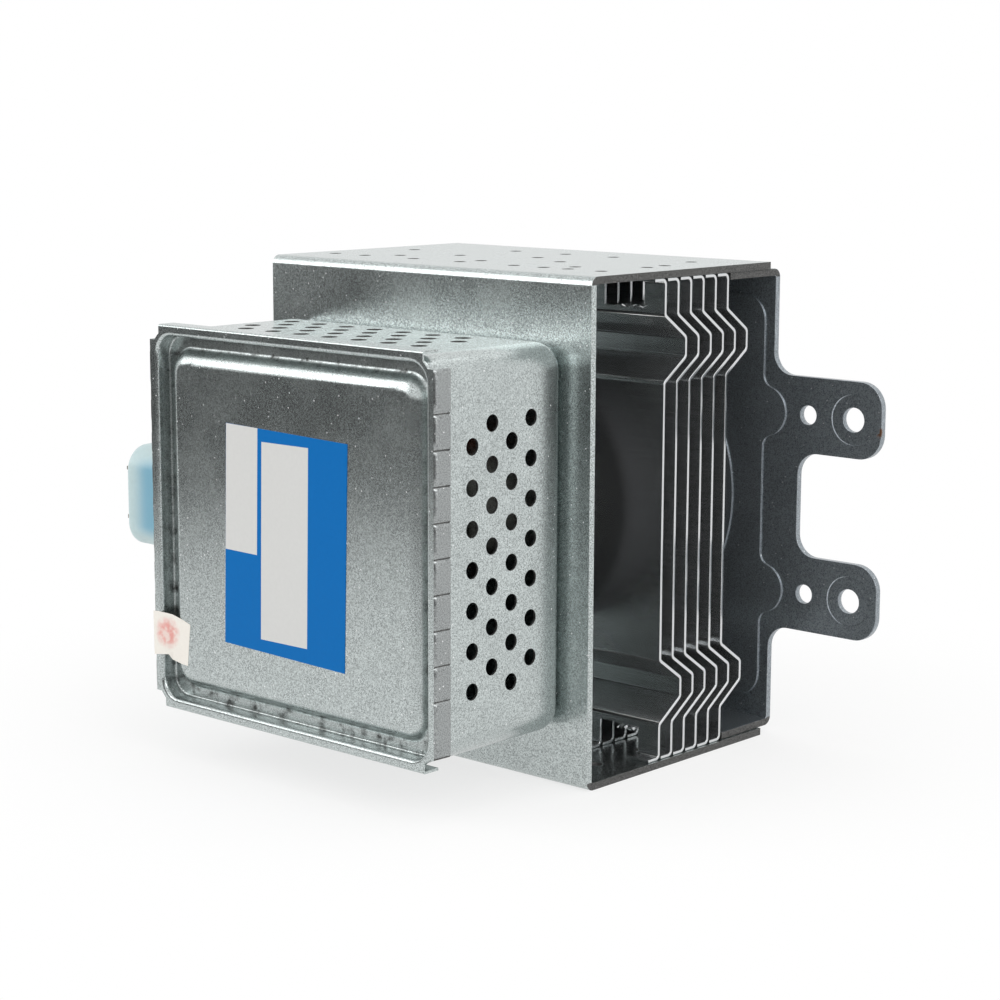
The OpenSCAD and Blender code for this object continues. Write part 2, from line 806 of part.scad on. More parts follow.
module output_ceramic() {
    color(alumina) spin(output_reach) translate([ceramic_ri, 0])
        square([output_ceramic_wall, output_ceramic_len]);
}

// Copper tube with a flange on the ceramic, pinched shut at its end
module exhaust_tube() {
    flat_t = 1.6;
    ri = exhaust_r - exhaust_wall;
    pinch_y = ceramic_end + exhaust_len - pinch_len;
    color(copper) {
        spin(ceramic_end) polygon([
            [ri, 0], [output_ceramic_d / 2 - 0.3, 0],
            [output_ceramic_d / 2 - 0.3, exhaust_flange_t],
            [exhaust_r, exhaust_flange_t], [exhaust_r, exhaust_len - pinch_len],
            [ri, exhaust_len - pinch_len]
        ]);
        intersection() {
            bore(0, 0, pinch_y, pinch_len, exhaust_r);
            translate([-exhaust_r, pinch_y, 0]) rotate([90, 0, 90]) linear_extrude(2 * exhaust_r)
                polygon([[0, -exhaust_r], [pinch_len, -flat_t / 2],
                    [pinch_len, flat_t / 2], [0, exhaust_r]]);
        }
    }
}

// Rod from a vane through the output pole piece on to the axis and into the exhaust tube
module antenna_lead() {
    vane_end = tube_mid + vane_h / 2 + fit;
    turn_y = vane_end + 1.4;
    axis_y = rear_magnet_y + 0.7 * magnet_t;
    end_y = ceramic_end + exhaust_len - pinch_len - fit;
    color(copper) wire(concat(
        [[0, vane_end, lead_start_z]],
        [for (k = [0 : 10])
            let (f = k / 10)
            [0, turn_y + (axis_y - turn_y) * f, lead_start_z * (1 + cos(180 * f)) / 2]],
        [[0, end_y, 0]]),
        lead_r, 10);
}

module antenna_cap() {
    round_r = 1.5;
    r = cap_d / 2;
    color(nickel) spin(cap_start) difference() {
        union() {
            square([r, cap_len - round_r]);
            square([r - round_r, cap_len]);
            translate([r - round_r, cap_len - round_r]) circle(round_r);
        }
        translate([0, -cut]) square([r - cap_t, cap_len - cap_t + cut]);
    }
}

// Ring of knitted wire round the antenna's foot
module mesh_gasket() {
    ri = tube_hole_r + fit;
    ro = gasket_od / 2;
    y = -dish_d;
    mid = [(ri + ro) / 2, gasket_t / 2];
    color(nickel) spin(y) translate(mid)
        round_rect([(ro - ri) / 2, gasket_t / 2], gasket_r);
}

// Vents through one wall, in staggered rows, drawn on a plane of row distance and place
module vent_pattern(pitch, start) {
    for (row = [0 : vent_rows - 1], k = [0 : vent_count - 1]) {
        shift = (row % 2 == 0 ? 0.25 : -0.25) * pitch;
        translate([start + row * vent_row, (k - (vent_count - 1) / 2) * pitch + shift])
            circle(d = vent_d);
    }
}

// Profile of radius and height swept round a rectangle with round corners, its middle filled to a height
module swept(half, r, middle_t) {
    run = [half.x - r, half.y - r];
    for (k = [0 : 3]) {
        reach = k % 2 == 0 ? run : [run.y, run.x];
        rotate([0, -90 * k, 0]) {
            translate([reach.x, 0, reach.y]) rotate([90, 0, 0]) rotate_extrude(angle = 90) children();
            translate([reach.x, 0, 0]) rotate([90, 0, 0]) translate([0, reach.y, 0])
                rotate([90, 0, 0]) linear_extrude(2 * reach.y) children();
        }
    }
    if (middle_t > 0)
        along_y(-middle_t, middle_t) square(2 * run, center = true);
}

// Half of a drawn box's section: out to u, up to v, with a round corner of radius r at its foot
module drawn_corner(u, v, r) {
    square([u - r, v]);
    translate([0, r]) square([u, v - r]);
    translate([u - r, 0]) intersection() {
        translate([0, r]) circle(r);
        square(r);
    }
}

// Half of the filter box's section, with a lip whose inner edge clears the lid's fold
module box_profile() {
    wall_len = box_depth - lid_t;
    edge_r = lid_fold_r - lid_t / 2;
    difference() {
        union() {
            drawn_corner(box_r, wall_len, box_base_r);
            translate([box_r - box_t, wall_len - box_t]) square([box_t + box_lip, box_t]);
        }
        translate([0, box_t]) drawn_corner(box_r - box_t, wall_len, box_base_r - box_t);
        translate([box_r - box_t, wall_len - edge_r]) difference() {
            translate([-cut, 0]) square(edge_r + cut);
            translate([edge_r, 0]) circle(edge_r);
            translate([edge_r, 0]) square(2 * cut);
        }
    }
}

// Drawn steel box with vents in the top and right walls and an opening for the capacitor
module filter_box() {
    color(steel) translate([box_x, 0, box_z]) difference() {
        translate([0, yoke_face, 0]) swept(box_half, box_r, box_t) box_profile();
        bore(-box_x, -box_z, yoke_face - 2 * cut, 3 * cut, box_hole_r);
        translate([0, yoke_face, vent_side_z])
            rotate([90, 0, -90]) translate([0, 0, -box_half.x - cut])
                linear_extrude(2 * cut) vent_pattern(vent_pitch, vent_start);
        translate([vent_top_x, yoke_face, box_half.y - cut])
            rotate([0, 0, -90]) linear_extrude(2 * cut) mirror([0, 1])
                vent_pattern(vent_pitch_top, vent_start_top);
        translate([-box_half.x, cap_y, 0]) rotate([0, 90, 0])
            translate([0, 0, -cut]) linear_extrude(2 * cut)
                round_rect([cap_body_h / 2 + fit, cap_body_w / 2 + fit], cap_body_r);
    }
}

// Four hems turned back over the box's lip
module hems() {
    long = [2 * (hem_half.x - hem_relief), 2 * (hem_half.y - hem_relief)];
    for (side = [0 : 3]) {
        upright = side % 2 == 0;
        rotate([0, 90 * side, 0]) translate([upright ? hem_half.x : hem_half.y, 0, 0])
            hem(upright ? long.y : long.x, upright);
    }
}

// One hem with its outer face at x = 0, folded back from the rim
module hem(len, nicked) {
    nick_count = floor(len / nick_pitch) - 1;
    mid = lid_t / 2;
    difference() {
        translate([0, box_mouth, -len / 2]) linear_extrude(len)
            strip([[-hem_fold - mid, mid], [-mid, mid], [-mid, hem_l]], lid_t, mid + hem_fold_in);
        if (nicked)
            for (k = [0 : nick_count - 1])
                translate([0, box_mouth - cut, (k - (nick_count - 1) / 2) * nick_pitch])
                    rotate([0, 45, 0])
                        translate([-nick_d, 0, -nick_d]) cube([2 * nick_d, hem_l + 2 * cut, 2 * nick_d]);
    }
}

// Flat of the lid's rim: round at the corners, out to the folds where the hems leave it
module rim_outline() {
    out = [hem_half.x - hem_fold, hem_half.y - hem_fold];
    round_rect([box_half.x + box_lip, box_half.y + box_lip], box_r + box_lip);
    square([2 * out.x, 2 * (hem_half.y - hem_relief)], center = true);
    square([2 * (hem_half.x - hem_relief), 2 * out.y], center = true);
}

// Solid under the lid's raised panel, from its foot at y = 0
module panel_solid() {
    foot = [foot_r, 0];
    edge = [panel_corner_r, panel_rise];
    swept(foot_half, foot_r, panel_rise) polygon(concat(
        [[0, 0]],
        corner([foot_r + cut, 0], foot, edge, panel_foot_r),
        corner(foot, edge, [0, panel_rise], panel_edge_r),
        [[0, panel_rise]]
    ));
}

// Pressed lid: hems, rim, groove and raised panel
module filter_lid() {
    floor_y = box_mouth + groove_d;
    mid = lid_t / 2;
    wall_r = plug_r - mid;
    rim_in = lid_fold_r - mid;
    floor_in = lid_fold_r + mid;
    color(steel) translate([box_x, 0, box_z]) {
        along_y(box_mouth, lid_t) difference() {
            rim_outline();
            round_rect([plug_half.x + rim_in, plug_half.y + rim_in], plug_r + rim_in);
        }
        hems();
        translate([0, floor_y, 0]) swept(plug_half, plug_r, 0) strip([
            [wall_r - lid_fold_r - 0.3, mid], [wall_r, mid],
            [wall_r, groove_d - mid], [box_r + box_lip, groove_d - mid]
        ], lid_t, lid_fold_r);
        difference() {
            union() {
                along_y(floor_y - lid_t, lid_t)
                    round_rect([plug_half.x - floor_in, plug_half.y - floor_in], plug_r - floor_in);
                translate([0, floor_y - lid_t, 0]) panel_solid();
            }
            translate([0, floor_y, 0]) panel_solid();
        }
    }
}

// Moulded insulator of the feed-through capacitor, outside and inside the box's wall
module capacitor_insulator() {
    outline = [cap_body_h / 2, cap_body_w / 2];
    len = cap_body_out + cap_body_in;
    color("#dfe8ee") translate([cap_end, cap_y, box_z]) rotate([0, 90, 0]) difference() {
        linear_extrude(len) round_rect(outline, cap_body_r);
        for (s = [-1, 1])
            translate([s * tab_pitch / 2, 0, -cut]) {
                translate([-tab_t / 2 - fit, -tab_w / 2 - fit, 0])
                    cube([tab_t + 2 * fit, tab_w + 2 * fit, tab_in + cut]);
                cylinder(d = tab_pin_d + 2 * fit, h = len + 2 * cut);
            }
    }
}

// Plate that holds the insulator against the box's wall
module capacitor_flange() {
    color(nickel) translate([box_left - cap_flange_t, cap_y, box_z]) rotate([0, 90, 0])
        linear_extrude(cap_flange_t - fit) difference() {
            round_rect([cap_flange.y / 2, cap_flange.x / 2], 4);
            round_rect([cap_body_h / 2 + fit, cap_body_w / 2 + fit], cap_body_r);
        }
}

module capacitor_rivets() {
    head = 1.1;
    color(nickel) for (s = [-1, 1])
        translate([box_left - cap_flange_t, cap_y, box_z + s * cap_rivet_z]) rotate([0, -90, 0])
            rotate_extrude() intersection() {
                translate([0, -0.6]) circle(cap_rivet_r + 0.4);
                square([cap_rivet_r + 0.4, head]);
            }
}

// Flat tab outside the insulator that narrows to a pin towards the choke
module supply_tab(s) {
    len = cap_body_out + cap_body_in;
    color(nickel) translate([cap_end, cap_y, box_z + s * tab_pitch / 2]) {
        translate([-tab_out, -tab_w / 2, -tab_t / 2]) cube([tab_out + tab_in, tab_w, tab_t]);
        rotate([0, 90, 0]) cylinder(d = tab_pin_d, h = len + tab_pin_in);
    }
}

module upper_supply_tab() {
    supply_tab(1);
}

module lower_supply_tab() {
    supply_tab(-1);
}

// Coil from the supply pin round its core and on along the stem pin
module choke_coil(s) {
    steps = 12;
    r = choke_d / 2;
    last = round(choke_rounds * steps);
    coil = [for (i = [0 : last])
        let (a = 360 * i / steps)
        [choke_start + choke_pitch * i / steps, choke_y - r * cos(a), s * (choke_z + r * sin(a))]];
    pin_x = box_left + cap_body_in + tab_pin_in + choke_wire / 2 + fit;
    color(copper) wire(concat(
        [[pin_x, cap_y, box_z + s * tab_pitch / 2]],
        [[choke_start, choke_y - r, s * (choke_z - choke_lead)]],
        coil,
        [[choke_end, choke_y + r, s * (stem_pin_gap / 2 - stem_pin_d / 2)]]),
        choke_wire / 2, 6);
}

module upper_choke_coil() {
    choke_coil(1);
}

module lower_choke_coil() {
    choke_coil(-1);
}

module choke_core(s) {
    color(ferrite) translate([(choke_start + choke_end - core_len) / 2, choke_y, s * choke_z])
        rotate([0, 90, 0]) cylinder(d = core_d, h = core_len);
}

module upper_choke_core() {
    choke_core(1);
}

module lower_choke_core() {
    choke_core(-1);
}

yoke_frame();
mounting_plate();
front_magnet();
rear_magnet();
cooling_fin_1();
cooling_fin_2();
cooling_fin_3();
cooling_fin_4();
cooling_fin_5();
cooling_fin_6();
anode_cylinder();
anode_vanes();
inner_straps();
outer_straps();
input_pole_piece();
output_pole_piece();
input_seal_cup();
output_seal_cup();
cathode_filament();
upper_end_hat();
lower_end_hat();
centre_rod();
side_rod();
stem_ceramic();
upper_stem_pin();
lower_stem_pin();
output_ceramic();
exhaust_tube();
antenna_lead();
antenna_cap();
mesh_gasket();
filter_box();
filter_lid();
capacitor_insulator();
capacitor_flange();
capacitor_rivets();
upper_supply_tab();
lower_supply_tab();
upper_choke_coil();
lower_choke_coil();
upper_choke_core();
lower_choke_core();
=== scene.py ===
"""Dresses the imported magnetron: softened sheet metal, crimped lid, knitted gasket, finishes and a white studio."""

import math

import bmesh
import bpy
from mathutils import Matrix, Vector


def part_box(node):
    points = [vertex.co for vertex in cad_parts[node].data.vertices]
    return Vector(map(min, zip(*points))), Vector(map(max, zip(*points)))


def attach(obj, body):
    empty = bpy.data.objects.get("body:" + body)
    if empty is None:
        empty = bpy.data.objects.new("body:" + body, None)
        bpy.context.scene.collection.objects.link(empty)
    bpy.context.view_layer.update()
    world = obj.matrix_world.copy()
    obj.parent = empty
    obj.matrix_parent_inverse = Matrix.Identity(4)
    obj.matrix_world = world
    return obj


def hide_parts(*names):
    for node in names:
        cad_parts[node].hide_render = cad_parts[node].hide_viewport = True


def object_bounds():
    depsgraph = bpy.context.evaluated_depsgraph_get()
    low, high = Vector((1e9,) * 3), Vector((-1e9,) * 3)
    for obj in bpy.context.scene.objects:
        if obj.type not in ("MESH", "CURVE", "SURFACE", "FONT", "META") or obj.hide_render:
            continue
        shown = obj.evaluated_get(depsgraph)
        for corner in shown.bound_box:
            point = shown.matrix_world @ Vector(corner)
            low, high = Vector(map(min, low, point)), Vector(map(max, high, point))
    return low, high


bl_info = {
    "name": "Magnetron dressing",
    "version": (1, 0, 0),
    "blender": (4, 5, 0),
    "location": "3D View > Sidebar > Magnetron",
    "description": "Builds the looks of a microwave-oven magnetron round its CAD frame",
    "category": "Object",
}

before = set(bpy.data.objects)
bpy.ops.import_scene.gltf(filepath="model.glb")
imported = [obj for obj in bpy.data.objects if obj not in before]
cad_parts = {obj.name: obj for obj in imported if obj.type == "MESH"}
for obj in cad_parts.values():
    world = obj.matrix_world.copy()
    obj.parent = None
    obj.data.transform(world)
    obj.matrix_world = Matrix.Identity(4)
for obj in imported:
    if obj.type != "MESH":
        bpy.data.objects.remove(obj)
CAD_BOX = [list(corner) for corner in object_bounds()]
MM = 0.001
FINS = [f"cooling_fin_{i}" for i in range(1, 7)]
# The lid in millimetres: its front plane, its middle, and half its width and half its length over the side hems
LID_FRONT = -94.2
LID_MIDDLE = (-0.2, LID_FRONT, -0.7)
HEM_OUT = 37.6
HEM_HALF = 34.2
# Edges that turn by more than this are rounded, and those that turn by more than the second stay crisp
SHARP_EDGE = math.radians(30)
CRISP_EDGE = math.radians(40)


def linear(code):
    """Turns an sRGB hex colour into linear red, green and blue."""
    parts = [int(code[i:i + 2], 16) / 255 for i in (1, 3, 5)]
    return [c / 12.92 if c <= 0.04045 else ((c + 0.055) / 1.055) ** 2.4 for c in parts]


def colour(label, code, note):
    """A colour property whose default is an sRGB hex value."""
    return bpy.props.FloatVectorProperty(
        name=label, description=note, subtype="COLOR", size=3, min=0, max=1, default=linear(code))


def length(label, millimetres, note):
    """A length property whose default is given in millimetres."""
    return bpy.props.FloatProperty(
        name=label, description=note, subtype="DISTANCE", unit="LENGTH", min=0, precision=5,
        default=millimetres * MM)


class FinishColours(bpy.types.PropertyGroup):
    """Colours of the magnetron's finishes"""

    zinc: colour("Zinc", "#d2dad9", "Bright zinc plating of the yoke, box and lid")
    # A darker, slightly rougher zinc for the staked hems, so that they stand apart from the box wall
    darker_hem_zinc: colour("Worked zinc", "#b2b6b6", "Zinc plating dulled by the staking tool")
    slate: colour("Plate zinc", "#aab2b8", "Greyer zinc plating of the mounting plate")
    aluminium: colour("Aluminium", "#d8dadb", "Rolled aluminium of the fins")
    ferrite: colour("Ferrite", "#27272a", "Sintered magnets and choke cores")
    copper: colour("Copper", "#c27a55", "Bare copper of the anode and its lead")
    nickel: colour("Nickel", "#cbc7bd", "Nickel plating of the cups, cap and tabs")
    alumina: colour("Alumina", "#efe7e0", "Fired alumina of the two ceramics")
    tungsten: colour("Tungsten", "#6a6663", "Cathode, hats and rods")
    knit: colour("Knitted wire", "#b6b5af", "Wire of the mesh gasket")
    enamel: colour("Enamel", "#a4512c", "Enamelled copper of the chokes")
    moulding: colour("Moulding", "#c0d4d6", "Natural moulding of the capacitor's insulator")
    tint: colour("Moulding tint", "#80b2c7", "Pale blue zone of the insulator")
    label_field: colour("Label field", "#0069b2", "Printed field of the label")
    label_paper: colour("Label paper", "#d2d2d0", "Unprinted fields of the label")
    seal_paper: colour("Seal paper", "#efeae2", "Paper of the torn seal")
    seal_ink: colour("Seal ink", "#e0584c", "Ink of the mark on the torn seal")
    rust: colour("Rust", "#5a3a22", "Rust at the plate's cut edges")
    sheared: colour("Sheared steel", "#5a5a59", "Bare steel of the yoke's sheared edges")
    # Dark dirt mixed with painted shade in the lid's groove
    dust_and_shade: colour("Dust", "#2f2d2a", "Dark dirt in the lid's groove")
    floor: colour("Floor", "#f7f7f6", "Paper sweep under the part")


class SheetSizes(bpy.types.PropertyGroup):
    """Sizes of the sheet-metal details"""

    edge: length("Edge round", 0.16, "Rounding left on a cut sheet edge by the press")
    fin_edge: length("Fin edge round", 0.1, "Rounding on a fin's cut edge")
    label_t: length("Label thickness", 0.1, "Thickness of the label")
    stake_pitch: length("Stake pitch", 6.3, "Distance between the staking dents in a hem")
    stake_depth: length("Stake depth", 0.42, "Depth of a staking dent at the fold")
    hem_skin: length("Hem skin", 0.48, "Thickness of the staked outer layer of a hem")
    stakes: bpy.props.IntProperty(
        name="Stakes", description="Number of staking dents in a hem", default=9, min=1)
    knit_wire: length("Knit wire", 0.13, "Radius of the gasket's knitted wire")
    knit_loops: bpy.props.IntProperty(
        name="Knit loops", description="Number of loops in the gasket", default=132, min=8)


class StageSizes(bpy.types.PropertyGroup):
    """Camera, lamps and floor"""

    azimuth: bpy.props.FloatProperty(
        name="Azimuth", description="Camera's turn about the object, from its front", subtype="ANGLE",
        default=math.radians(41.98))
    elevation: bpy.props.FloatProperty(
        name="Elevation", description="Camera's height above the horizon", subtype="ANGLE",
        default=math.radians(9.72))
    roll: bpy.props.FloatProperty(
        name="Roll", description="Camera's turn about its own axis", subtype="ANGLE",
        default=math.radians(0.198))
    lens: bpy.props.FloatProperty(
        name="Lens", description="Focal length in millimetres on a 36 mm sensor", default=85.43)
    eye: bpy.props.FloatVectorProperty(
        name="Eye", description="Place of the camera", subtype="XYZ", unit="LENGTH", size=3,
        default=(0.3124, -0.3834, 0.0796))
    ambient: bpy.props.FloatProperty(
        name="Ambient", description="Level of the light from all round", default=0.7, min=0)
    key: bpy.props.FloatProperty(
        name="Key", description="Power of the overhead soft box", subtype="POWER", default=1.4, min=0)
    fill: bpy.props.FloatProperty(
        name="Fill", description="Power of the front soft box", subtype="POWER", default=2.3, min=0)
    side: bpy.props.FloatProperty(
        name="Side", description="Power of the soft box on the right", subtype="POWER", default=2.0, min=0)
    card: bpy.props.FloatProperty(
        name="Card tone", description="Grey of the card that the front faces mirror", default=0.05, min=0, max=1)


def add(tree, kind, inputs=None, **settings):
    """Adds a node, sets its attributes, and links or sets its inputs."""
    node = tree.nodes.new(kind)
    for key, value in settings.items():
        setattr(node, key, value)
    for key, value in (inputs or {}).items():
        if isinstance(value, bpy.types.NodeSocket):
            tree.links.new(value, node.inputs[key])
        else:
            node.inputs[key].default_value = value
    return node


def calc(tree, operation, *values):
    """The result of a math node on the given values."""
    return add(tree, "ShaderNodeMath", dict(enumerate(values)), operation=operation).outputs[0]


def rgba(rgb, factor=1.0):
    """A colour with alpha, made lighter or darker by a factor."""
    return (*[min(1.0, c * factor) for c in rgb], 1.0)


def started(name):
    """An empty material with its output, surface shader and object coordinates."""
    made = bpy.data.materials.new(name)
    made.use_nodes = True
    tree = made.node_tree
    tree.nodes.clear()
    surface = add(tree, "ShaderNodeBsdfPrincipled")
    add(tree, "ShaderNodeOutputMaterial", {"Surface": surface.outputs["BSDF"]})
    place = add(tree, "ShaderNodeTexCoord").outputs["Object"]
    return made, tree, surface, place


def ramp(tree, factor, stops):
    """A colour ramp through the given places and colours."""
    node = add(tree, "ShaderNodeValToRGB", {"Fac": factor})
    points = node.color_ramp.elements
    while len(points) < len(stops):
        points.new(0.5)
    for point, (where, tone) in zip(points, stops):
        point.position = where
        point.color = tone
    return node.outputs["Color"]


def reopened(made):
    """A made material's tree, surface shader, object coordinates and the colour that it has so far."""
    tree = made.node_tree
    kinds = {node.type: node for node in tree.nodes}
    surface = kinds["BSDF_PRINCIPLED"]
    plain = surface.inputs["Base Color"].links[0].from_socket
    return tree, surface, kinds["TEX_COORD"].outputs["Object"], plain


def seen_plainly(tree):
    """One for rays from the camera, off a mirror or through a clear body, and nought for other rays."""
    ray = add(tree, "ShaderNodeLightPath").outputs
    either = calc(tree, "MAXIMUM", ray["Is Camera Ray"], ray["Is Glossy Ray"])
    return calc(tree, "MAXIMUM", either, ray["Is Transmission Ray"])


def zinc_plated_steel(name, rgb, metallic, roughness, dust_and_shade=None):
    """Cold-rolled steel with zinc plating: pale grey, softly mirrored, with a sandy grain, specks and pits.

    With a dust-and-shade colour, smears of dirt with painted groove shade darken it from the lid's face down into
    the groove.
    """
    made, tree, surface, place = started(name)
    grain = add(tree, "ShaderNodeTexNoise", {
        "Vector": place, "Scale": 1 / (0.22 * MM), "Detail": 2.0, "Roughness": 0.75}).outputs["Fac"]
    cloud = add(tree, "ShaderNodeTexNoise", {
        "Vector": place, "Scale": 1 / (9 * MM), "Detail": 3.0}).outputs["Fac"]
    cells = add(tree, "ShaderNodeTexVoronoi", {"Vector": place, "Scale": 1 / (1.6 * MM)}).outputs
    body = ramp(tree, cloud, [(0.3, rgba(rgb, 0.95)), (0.7, rgba(rgb, 1.03))])
    speck = ramp(tree, grain, [(0.36, rgba((0.42, 0.42, 0.42))), (0.6, rgba((1, 1, 1)))])
    mixed = add(tree, "ShaderNodeMix", {
        "Factor": 1.0, "A": body, "B": speck}, data_type="RGBA", blend_type="MULTIPLY").outputs["Result"]
    # Each cell's own tone decides between a bright speck and a dark pit at its middle
    spot = ramp(tree, cells["Color"], [(0.68, rgba((0.95, 0.96, 0.97))), (0.7, rgba(rgb, 0.3))])
    near = add(tree, "ShaderNodeMapRange", {
        "Value": cells["Distance"], "From Min": 0.06, "From Max": 0.11, "To Min": 0.8, "To Max": 0.0})
    whole = add(tree, "ShaderNodeMix", {
        "Factor": near.outputs["Result"], "A": mixed, "B": spot}, data_type="RGBA").outputs["Result"]
    gloss = add(tree, "ShaderNodeMapRange", {
        "Value": cloud, "From Min": 0.3, "From Max": 0.7,
        "To Min": roughness - 0.02, "To Max": roughness + 0.02}).outputs["Result"]
    bump = add(tree, "ShaderNodeBump", {
        "Strength": 0.06, "Distance": 0.03 * MM, "Height": grain}).outputs["Normal"]
    # A bright speck is a loose crystal that scatters the light instead of mirroring it
    shine = add(tree, "ShaderNodeMapRange", {
        "Value": near.outputs["Result"], "To Min": metallic, "To Max": 0.2}).outputs["Result"]
    tree.links.new(shine, surface.inputs["Metallic"])
    if dust_and_shade:
        # Painted shade: the colour darkens deeper into the groove, broken up by patchy dirt
        depth = add(tree, "ShaderNodeSeparateXYZ", {"Vector": place}).outputs["Y"]
        cover = add(tree, "ShaderNodeMapRange", {
            "Value": depth, "From Min": -92.6 * MM, "From Max": -91.2 * MM}).outputs["Result"]
        smear = add(tree, "ShaderNodeTexNoise", {
            "Vector": place, "Scale": 1 / (2.4 * MM), "Detail": 4.0, "Roughness": 0.7}).outputs["Fac"]
        patchy = add(tree, "ShaderNodeMapRange", {
            "Value": smear, "From Min": 0.5, "From Max": 0.68, "To Min": 0.12, "To Max": 0.85}).outputs["Result"]
        cover = calc(tree, "MULTIPLY", cover, patchy)
        whole = add(tree, "ShaderNodeMix", {
            "Factor": cover, "A": whole, "B": rgba(dust_and_shade)}, data_type="RGBA").outputs["Result"]
        gloss = calc(tree, "MULTIPLY_ADD", cover, 0.25, gloss)
    tree.links.new(whole, surface.inputs["Base Color"])
    tree.links.new(gloss, surface.inputs["Roughness"])
    tree.links.new(bump, surface.inputs["Normal"])
    return made


def rolled_aluminium(name, rgb):
    """Rolled aluminium strip: bright, nearly a mirror, with fine streaks along the rolling direction."""
    made, tree, surface, place = started(name)
    along = add(tree, "ShaderNodeMapping", {"Vector": place, "Scale": (0.02, 1.0, 1.0)}).outputs["Vector"]
    streak = add(tree, "ShaderNodeTexNoise", {
        "Vector": along, "Scale": 1 / (0.3 * MM), "Detail": 2.0}).outputs["Fac"]
    tone = ramp(tree, streak, [(0.3, rgba(rgb, 0.95)), (0.7, rgba(rgb, 1.02))])
    gloss = add(tree, "ShaderNodeMapRange", {
        "Value": streak, "From Min": 0.3, "From Max": 0.7, "To Min": 0.15, "To Max": 0.19})
    bump = add(tree, "ShaderNodeBump", {"Strength": 0.04, "Distance": 0.02 * MM, "Height": streak})
    surface.inputs["Metallic"].default_value = 0.95
    tree.links.new(tone, surface.inputs["Base Color"])
    tree.links.new(gloss.outputs["Result"], surface.inputs["Roughness"])
    tree.links.new(bump.outputs["Normal"], surface.inputs["Normal"])
    return made


def grained(name, rgb, metallic, roughness, grain_mm, spread, depth_mm):
    """A plain surface with a fine grain in its colour, gloss and relief."""
    made, tree, surface, place = started(name)
    grain = add(tree, "ShaderNodeTexNoise", {
        "Vector": place, "Scale": 1 / (grain_mm * MM), "Detail": 4.0}).outputs["Fac"]
    tone = ramp(tree, grain, [(0.3, rgba(rgb, 1 - spread)), (0.7, rgba(rgb, 1 + spread))])
    gloss = add(tree, "ShaderNodeMapRange", {
        "Value": grain, "From Min": 0.3, "From Max": 0.7,
        "To Min": roughness - 0.06, "To Max": roughness + 0.06})
    bump = add(tree, "ShaderNodeBump", {"Strength": 0.3, "Distance": depth_mm * MM, "Height": grain})
    surface.inputs["Metallic"].default_value = metallic
    tree.links.new(tone, surface.inputs["Base Color"])
    tree.links.new(gloss.outputs["Result"], surface.inputs["Roughness"])
    tree.links.new(bump.outputs["Normal"], surface.inputs["Normal"])
    return made


def rusted_plate(name, rgb, rust):
    """Grey zinc plating of the mounting plate: slate blue-grey, with a patch of rust at one ear's tip."""
    made = zinc_plated_steel(name, rgb, 0.8, 0.3)
    tree, surface, place, clean = reopened(made)
    away = add(tree, "ShaderNodeVectorMath", {
        0: place, 1: (66.5 * MM, -2.0 * MM, 15.4 * MM)}, operation="SUBTRACT").outputs["Vector"]
    away = add(tree, "ShaderNodeVectorMath", {0: away, 1: (1.0, 1.0, 0.45)}, operation="MULTIPLY").outputs["Vector"]
    away = add(tree, "ShaderNodeVectorMath", {0: away}, operation="LENGTH").outputs["Value"]
    flake = add(tree, "ShaderNodeTexNoise", {
        "Vector": place, "Scale": 1 / (0.9 * MM), "Detail": 3.0}).outputs["Fac"]
    edge = add(tree, "ShaderNodeMapRange", {
        "Value": away, "From Min": 0.4 * MM, "From Max": 1.5 * MM, "To Min": 0.6, "To Max": 0.0}).outputs["Result"]
    cover = calc(tree, "ADD", edge, flake)
    cover = add(tree, "ShaderNodeMapRange", {
        "Value": cover, "From Min": 0.75, "From Max": 0.95}).outputs["Result"]
    tinted = add(tree, "ShaderNodeMix", {
        "Factor": cover, "A": clean, "B": rgba(rust)}, data_type="RGBA").outputs["Result"]
    dull = calc(tree, "MULTIPLY_ADD", cover, -0.8, 0.8)
    tree.links.new(tinted, surface.inputs["Base Color"])
    tree.links.new(dull, surface.inputs["Metallic"])
    return made


def milky_moulding(name, rgb, tint):
    """Milky thermoplastic: off-white, satin and slightly translucent, with a pale blue zone near the box."""
    made = grained(name, rgb, 0.0, 0.38, 1.0, 0.03, 0.01)
    tree, surface, place, plain = reopened(made)
    along = add(tree, "ShaderNodeSeparateXYZ", {"Vector": place}).outputs
    inward = add(tree, "ShaderNodeMapRange", {
        "Value": along["X"], "From Min": -58.0 * MM, "From Max": -52.5 * MM}, interpolation_type="SMOOTHSTEP")
    height = calc(tree, "ADD", along["Z"], 0.5 * MM)
    height = calc(tree, "ABSOLUTE", height)
    middle = add(tree, "ShaderNodeMapRange", {
        "Value": height, "From Min": 9.0 * MM, "From Max": 5.5 * MM}, interpolation_type="SMOOTHSTEP")
    zone = calc(tree, "MULTIPLY", inward.outputs["Result"], middle.outputs["Result"])
    both = add(tree, "ShaderNodeMix", {
        "Factor": zone, "A": plain, "B": rgba(tint)}, data_type="RGBA").outputs["Result"]
    tree.links.new(both, surface.inputs["Base Color"])
    surface.inputs["Subsurface Weight"].default_value = 0.35
    surface.inputs["Subsurface Radius"].default_value = (2.5 * MM, 2.5 * MM, 2.5 * MM)
    surface.inputs["Subsurface Scale"].default_value = 1.0
    return made


